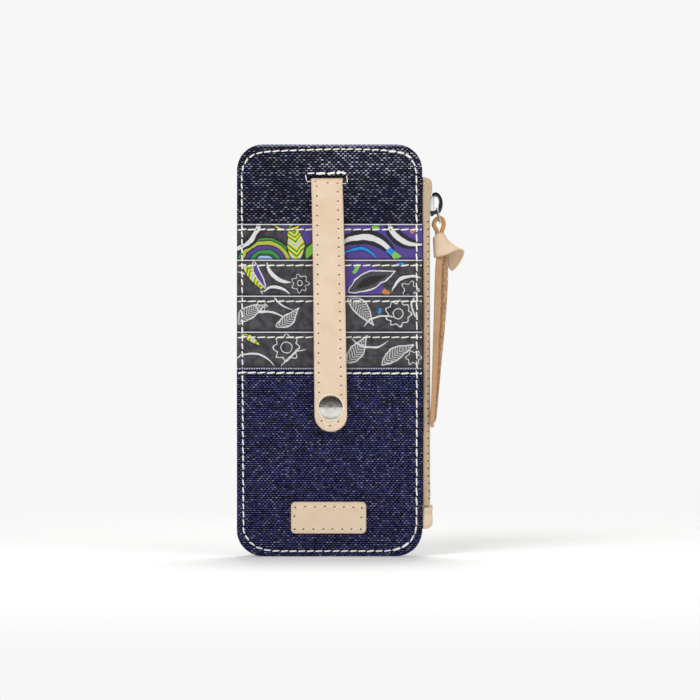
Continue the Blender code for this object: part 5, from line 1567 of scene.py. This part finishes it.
class ORGANIZER_OT_leather_pull(PieceOperator):
    """Lace, flared wrap and two hanging strips"""
    bl_idname = "organizer.leather_pull"
    bl_label = "Leather Pull"

    def make(self, context):
        self.lace()
        self.wrap()
        self.tails()

    def lace(self):
        half = 1.1 * MM
        middle = KNOT.x - 0.4 * MM
        top = KNOT.z + 1.0 * MM + half
        foot = low("tassel_loop").z
        line = [Vector((middle + dx * MM, CHAIN_Y, z + dz * MM)) for dx, z, dz in (
            (-1.2, foot, 0), (-1.2, foot, 5.6), (-2.3, foot, 8.0), (-2.9, top, -3.2),
            (-1.9, top, -0.9), (0, top, 0), (1.5, top, -0.6), (2.2, top, -2.6), (1.9, foot, 8.0),
            (1.2, foot, 5.6), (1.2, foot, 0))]
        path = smooth_path(line, 6)
        normals = [heading(path, i).cross(-FORWARD) for i in range(len(path))]
        rings = strip_rings(path, [1.15 * MM] * len(path), half, normals, 0.6)
        add_piece("lace_leather", lofted(rings), None, hide("lace"), "tassel", "leather",
                  ["tassel_loop"])

    def wrap(self):
        """A flared collar of leather: open above and below, its rims rounded."""
        thick = 1.0 * MM
        shares = [i / 14 for i in range(15)]
        rows = [(share, 0.0, 0.0) for share in shares]
        rows += [(1.0, thick * 0.25, 0.22), (1.0, thick * 0.75, 0.22)]
        rows += [(share, thick, 0.0) for share in reversed(shares)]
        rows += [(0.0, thick * 0.75, -0.22), (0.0, thick * 0.25, -0.22)]
        rims = []
        # Rim share: the wrap is drawn darker at its upper and lower rims, partly as painted shade, and a
        # little darker over its inner face.
        for share, inset, _ in rows:
            edge = min(1.0 - share, share) * 12
            rims += [max(bell(edge, 0.5), 0.3 * inset / thick)] * 64
        bm = lofted([self.wrap_ring(*row) for row in rows], closed=True)
        add_piece("wrap_leather", bm, rims, hide("pull"), "tassel", "leather", ["tassel_wrap"])

    def wrap_ring(self, share, inset, bulge):
        left = Vector((53.0, 163.0)).lerp(Vector((53.5, 153.2)), share)
        right = Vector((59.5 + 9.7 * share ** 1.35, 164.6 - 9.3 * share))
        depth = 3.1 + 3.0 * share - inset / MM
        droop = 8.4 * share ** 1.4
        lift = 4.6 * share ** 2
        middle = (left + right) / 2
        half = (right.x - left.x) / 2 - inset / MM
        ring = []
        for cos, sin in circle(64):
            behind = max(sin, 0.0) ** 1.6 * smoothstep((cos + 0.5) / 0.8)
            before = max(-sin, 0.0) * ((1 + cos) / 2) ** 2.5
            z = middle.y + (right.y - left.y) / 2 * cos - droop * behind + lift * before
            z += 1.9 * (1 - share) ** 2 * sin ** 2 - bulge
            ring.append(Vector((middle.x + half * cos, CHAIN_Y / MM + depth * sin, z)) * MM)
        return ring

    def tails(self):
        """Two strips, each through points of x, y, width and height in mm."""
        left = ((56.6, -0.9, 3.0), (56.5, -1.4, 3.5, 154), (55.9, -2.3, 3.6, 146),
                (55.5, -3.6, 3.6, 134), (54.9, -5.2, 3.4, 118), (54.1, -6.4, 3.0, 100),
                (53.3, -6.6, 2.6, 82), (52.5, -6.6, 2.4, 70), (52.5, -6.6, 1.32, 66))
        right = ((59.2, 0.9, 3.0), (59.4, 0.6, 3.5, 154), (59.1, -0.2, 3.6, 146),
                 (58.6, -1.4, 3.6, 134), (57.5, -3.0, 3.4, 118), (55.9, -4.5, 3.0, 100),
                 (54.5, -4.6, 2.6, 82), (53.7, -4.6, 2.3, 72), (53.7, -4.6, 1.265, 68.8))
        top = high("tassel_tail_left").z / MM
        for name, node, (first, *others), kind in (
                ("tail_smooth", "tassel_tail_left", left, "tail"),
                ("tail_raw", "tassel_tail_right", right, "raw")):
            points = [(*first, top), *others]
            path = smooth_path([Vector((x * MM, CHAIN_Y + y * MM, z * MM))
                                for x, y, _, z in points], 8)
            halves = [width.x for width in smooth_path(
                [Vector((width / 2 * MM, 0)) for _, _, width, _ in points], 8)]
            rings = strip_rings(path, halves, 0.8 * MM, [FORWARD] * len(path), 0.5)
            # Rim share: each strip is drawn darker towards both long edges, partly as painted shade.
            rims = []
            for ring, point, half in zip(rings, path, halves):
                rims += [smoothstep((abs(p.x - point.x) / half - 0.75) / 0.25) for p in ring]
            add_piece(name, lofted(rings), rims, hide(kind), "tassel", "leather", [node])


# The edge seam's line, clockwise from the middle of the top, in mm. The left side lies further
# in towards the bottom, and the corners are rounder there, as sewn.
SEAM = ((8, 208.5), (20, 208.3), (26.3, 208.0), (32.4, 207.3), (36.4, 206.7), (40.4, 205.2),
        (42.9, 202.0), (44.2, 197.6), (44.5, 192.5), (44.6, 150), (44.6, 60), (44.5, 18.6),
        (44.3, 13.9), (43.1, 10.0), (40.9, 7.0), (38.0, 4.9), (33.5, 3.2), (26, 2.6), (0, 2.6),
        (-26, 2.6), (-33.5, 3.3), (-38.7, 5.4), (-42.3, 9.1), (-43.7, 13.5), (-44.1, 19),
        (-44.6, 100), (-45.0, 188), (-45.0, 195.5), (-44.3, 199.6), (-42.6, 202.8),
        (-39.9, 205.2), (-35.6, 206.7), (-30.5, 207.3), (-20.2, 207.8), (-6, 208.3), (8, 208.5))
# Where the edge seam is sewn over twice
SEWN_TWICE = ((34.3, 208.0), (38.9, 206.8), (39.1, 4.2), (35.9, 2.9))
# The box stitch round the slot: x and z of both ends and half the thread's width, in mm
SLOT_BOX = (
    (-11.8, 196.0, -7.3, 196.3, 0.38), (-7.4, 195.95, -1.7, 196.2, 0.72),
    (-1.6, 195.8, 3.2, 196.5, 0.66), (3.3, 196.0, 6.0, 196.9, 0.74), (5.6, 196.8, 8.6, 195.9, 0.64),
    (-12.4, 195.7, -11.8, 192.0, 0.28), (-11.8, 191.9, -9.5, 191.9, 0.30),
    (8.65, 195.3, 9.15, 191.0, 0.28), (5.6, 190.9, 8.8, 190.9, 0.28),
)


def edge_beat(point):
    """Pitch and length of an edge stitch: short down the left side, long down the right."""
    if point.x < -HALF_WIDTH + CORNER_RADIUS:
        return 4.1 * MM, 3.35 * MM
    if point.x > HALF_WIDTH - CORNER_RADIUS and point.y < BODY_HEIGHT - CORNER_RADIUS:
        return 5.0 * MM, 4.35 * MM
    return 4.4 * MM, 3.75 * MM


def pocket_beat(point):
    return 4.9 * MM, 4.35 * MM


class ORGANIZER_OT_stitching(PieceOperator):
    """Pale thread round the edges, along the pockets and round the slot"""
    bl_idname = "organizer.stitching"
    bl_label = "Pale Stitching"

    def make(self, context):
        pale = painted("thread pale", thread_look, look("trim").thread)
        radius = look("trim").thread_radius
        seam = smooth_path(in_mm(*SEAM), 4)
        pits = bmesh.new()
        edge = Stitches(2)
        edge.run(seam, front_face_y, FORWARD, radius, edge_beat, 0.18 * MM, in_mm(*SEWN_TWICE), pits)
        edge.finish("edge_stitches_front", pale, "body", "denim")
        back = Stitches(3)
        back.run(seam, back_face_y, -FORWARD, radius, edge_beat, 0.1 * MM)
        back.finish("edge_stitches_back", pale, "body", "denim")
        settled = 2.95 * MM
        for index, (top, drop, weight) in enumerate(
                [(top, settled, 0.95) for top in POCKET_TOPS] + [(LOWER_TOP, 2.5 * MM, 1.1)]):
            line = Stitches(20 + index)
            path = [Vector((-HALF_WIDTH + 0.3 * MM, top - drop)),
                    Vector((-12 * MM, top - (drop + settled) / 2)),
                    Vector((HALF_WIDTH - 0.3 * MM, top - settled))]
            line.run(path, front_face_y, FORWARD, radius * weight, pocket_beat, 0.2 * MM, pits=pits)
            line.finish(f"pocket_stitches_{index + 1}", pale, "body", "printed_cloth")
        add_piece("needle_holes", pits, None, painted("pricked hole", hole_shade_look), "body", "denim")
        box = Stitches(9)
        for x0, z0, x1, z1, half in SLOT_BOX:
            sunk = FRONT_Y / MM + 0.4 * half
            box.add(*in_mm((x0, sunk, z0), (x1, sunk, z1)), FORWARD, half * MM, 0.5)
        box.finish("slot_stitches", pale, "body", "denim")


def floor_look(pad):
    colour = look("studio").floor
    place = pad.place()
    pad.coat(pad.mix(pad.noise(place, 3.0), colour, dimmed(colour, 0.99)), 0.9, specular=0.1)
    x, y, _ = pad.split(place)
    away = pad.math("MAXIMUM", pad.fade(abs(x), 0.10, 0.45), pad.fade(abs(y), 0.10, 0.50))
    seen = pad.out("ShaderNodeLightPath", "Is Camera Ray")
    pad.blend(seen * away, pad.tree.nodes["Principled BSDF"],
              pad.add("ShaderNodeEmission", BACKDROP, 1.0), "Material Output")


class ORGANIZER_OT_studio(PieceOperator):
    """Pale floor and backdrop, soft lamps and the camera"""
    bl_idname = "organizer.studio"
    bl_label = "Studio"

    def make(self, context):
        self.camera(context)
        self.floor()
        self.lamps()
        self.sky(context)
        context.scene.view_settings.view_transform = "Standard"

    def camera(self, context):
        studio = look("studio")
        data = bpy.data.cameras.new("organizer_camera")
        data.type = "PERSP"
        data.sensor_width = 36.0
        data.lens = data.sensor_width * studio.camera_distance / studio.picture_width
        data.clip_start = 0.05
        data.clip_end = 30.0
        camera = link("organizer_camera", data)
        camera.location = (CAMERA_X, PICTURE_Y - studio.camera_distance, CAMERA_Z)
        camera.rotation_euler = (math.radians(90), 0, 0)
        context.scene.camera = camera

    def floor(self):
        """One curved sheet: floor in front, wall behind, far from the object all round."""
        turns = [math.pi / 2 * k / 12 for k in range(13)]
        profile = [(-2.5, 0.0)]
        profile += [(0.6 + 0.8 * math.sin(turn), 0.8 * (1 - math.cos(turn))) for turn in turns]
        profile.append((1.4, 3.0))
        bm = bmesh.new()
        lines = [[bm.verts.new((x, y, z - 0.0002)) for x in (-3.0, 3.0)] for y, z in profile]
        for first, second in zip(lines, lines[1:]):
            join_rows(bm, first, second)
        mesh = mesh_of("studio_floor", bm)
        mesh.materials.append(painted("studio floor", floor_look))
        link("studio_floor", mesh)

    def lamps(self):
        for name, place, size, power in (
                ("key_lamp", (-0.55, -0.9, 1.05), 0.7, 9.4),
                ("fill_lamp", (0.9, -0.8, 0.55), 0.9, 4.8),
                ("top_lamp", (0.1, 0.5, 1.7), 0.6, 13.0)):
            data = bpy.data.lights.new(name, "AREA")
            data.shape = "SQUARE"
            data.size = size
            data.energy = power
            lamp = link(name, data)
            lamp.visible_glossy = False
            lamp.location = place
            aim = Vector((0.0, 0.0, 0.1)) - Vector(place)
            lamp.rotation_euler = aim.to_track_quat("-Z", "Y").to_euler()

    def sky(self, context):
        """Plain white light; metal sees a dark studio above the camera."""
        world = bpy.data.worlds.new("organizer_sky")
        world.use_nodes = True
        pad = NodePad(world.node_tree)
        _, y, z = pad.split(pad.out("ShaderNodeTexCoord", "Generated"))
        camera = pad.out("ShaderNodeLightPath", "Is Camera Ray")
        glossy = pad.out("ShaderNodeLightPath", "Is Glossy Ray")
        dark = glossy * (pad.fade(z, -0.1, 0.05) * (1.0 - pad.fade(y, 0.3, 0.7)))
        deep = pad.mix(pad.fade(z, 0.05, 0.6), (0.2, 0.19, 0.18, 1.0), (0.055, 0.05, 0.045, 1.0))
        light = world.node_tree.nodes["Background"]
        light.inputs["Color"].default_value = (1.0, 1.0, 1.0, 1.0)
        light.inputs["Strength"].default_value = 0.35
        seen = pad.add("ShaderNodeBackground", pad.mix(dark, BACKDROP, deep))
        pad.blend(pad.math("MAXIMUM", camera, glossy), light, seen, "World Output")
        context.scene.world = world


PROPERTY_GROUPS = (
    ("organizer_cloth", OrganizerCloth),
    ("organizer_print", OrganizerPrint),
    ("organizer_trim", OrganizerTrim),
    ("organizer_studio", OrganizerStudio),
)
OPERATORS = (
    ORGANIZER_OT_panels, ORGANIZER_OT_linings, ORGANIZER_OT_card_pockets,
    ORGANIZER_OT_lower_pocket, ORGANIZER_OT_strap, ORGANIZER_OT_snap, ORGANIZER_OT_label,
    ORGANIZER_OT_zip_tapes, ORGANIZER_OT_zip_chain, ORGANIZER_OT_end_tab, ORGANIZER_OT_slider,
    ORGANIZER_OT_leather_pull, ORGANIZER_OT_stitching, ORGANIZER_OT_studio,
)


class ORGANIZER_PT_sidebar(bpy.types.Panel):
    """Lists the organizer's looks and pieces"""
    bl_label = "Card Organizer"
    bl_idname = "ORGANIZER_PT_sidebar"
    bl_space_type = "VIEW_3D"
    bl_region_type = "UI"
    bl_category = "Organizer"

    def draw(self, context):
        layout = self.layout
        for name, group in PROPERTY_GROUPS:
            box = layout.box()
            for key in group.__annotations__:
                box.prop(getattr(context.scene, name), key)
        for operator in OPERATORS:
            layout.operator(operator.bl_idname)


def register():
    for name, group in PROPERTY_GROUPS:
        bpy.utils.register_class(group)
        setattr(bpy.types.Scene, name, bpy.props.PointerProperty(type=group))
    for operator in OPERATORS:
        bpy.utils.register_class(operator)
    bpy.utils.register_class(ORGANIZER_PT_sidebar)


def unregister():
    bpy.utils.unregister_class(ORGANIZER_PT_sidebar)
    for operator in reversed(OPERATORS):
        bpy.utils.unregister_class(operator)
    for name, group in reversed(PROPERTY_GROUPS):
        delattr(bpy.types.Scene, name)
        bpy.utils.unregister_class(group)


def main():
    register()
    for operator in OPERATORS:
        category, name = operator.bl_idname.split(".")
        getattr(getattr(bpy.ops, category), name)()


if __name__ == "__main__":
    main()
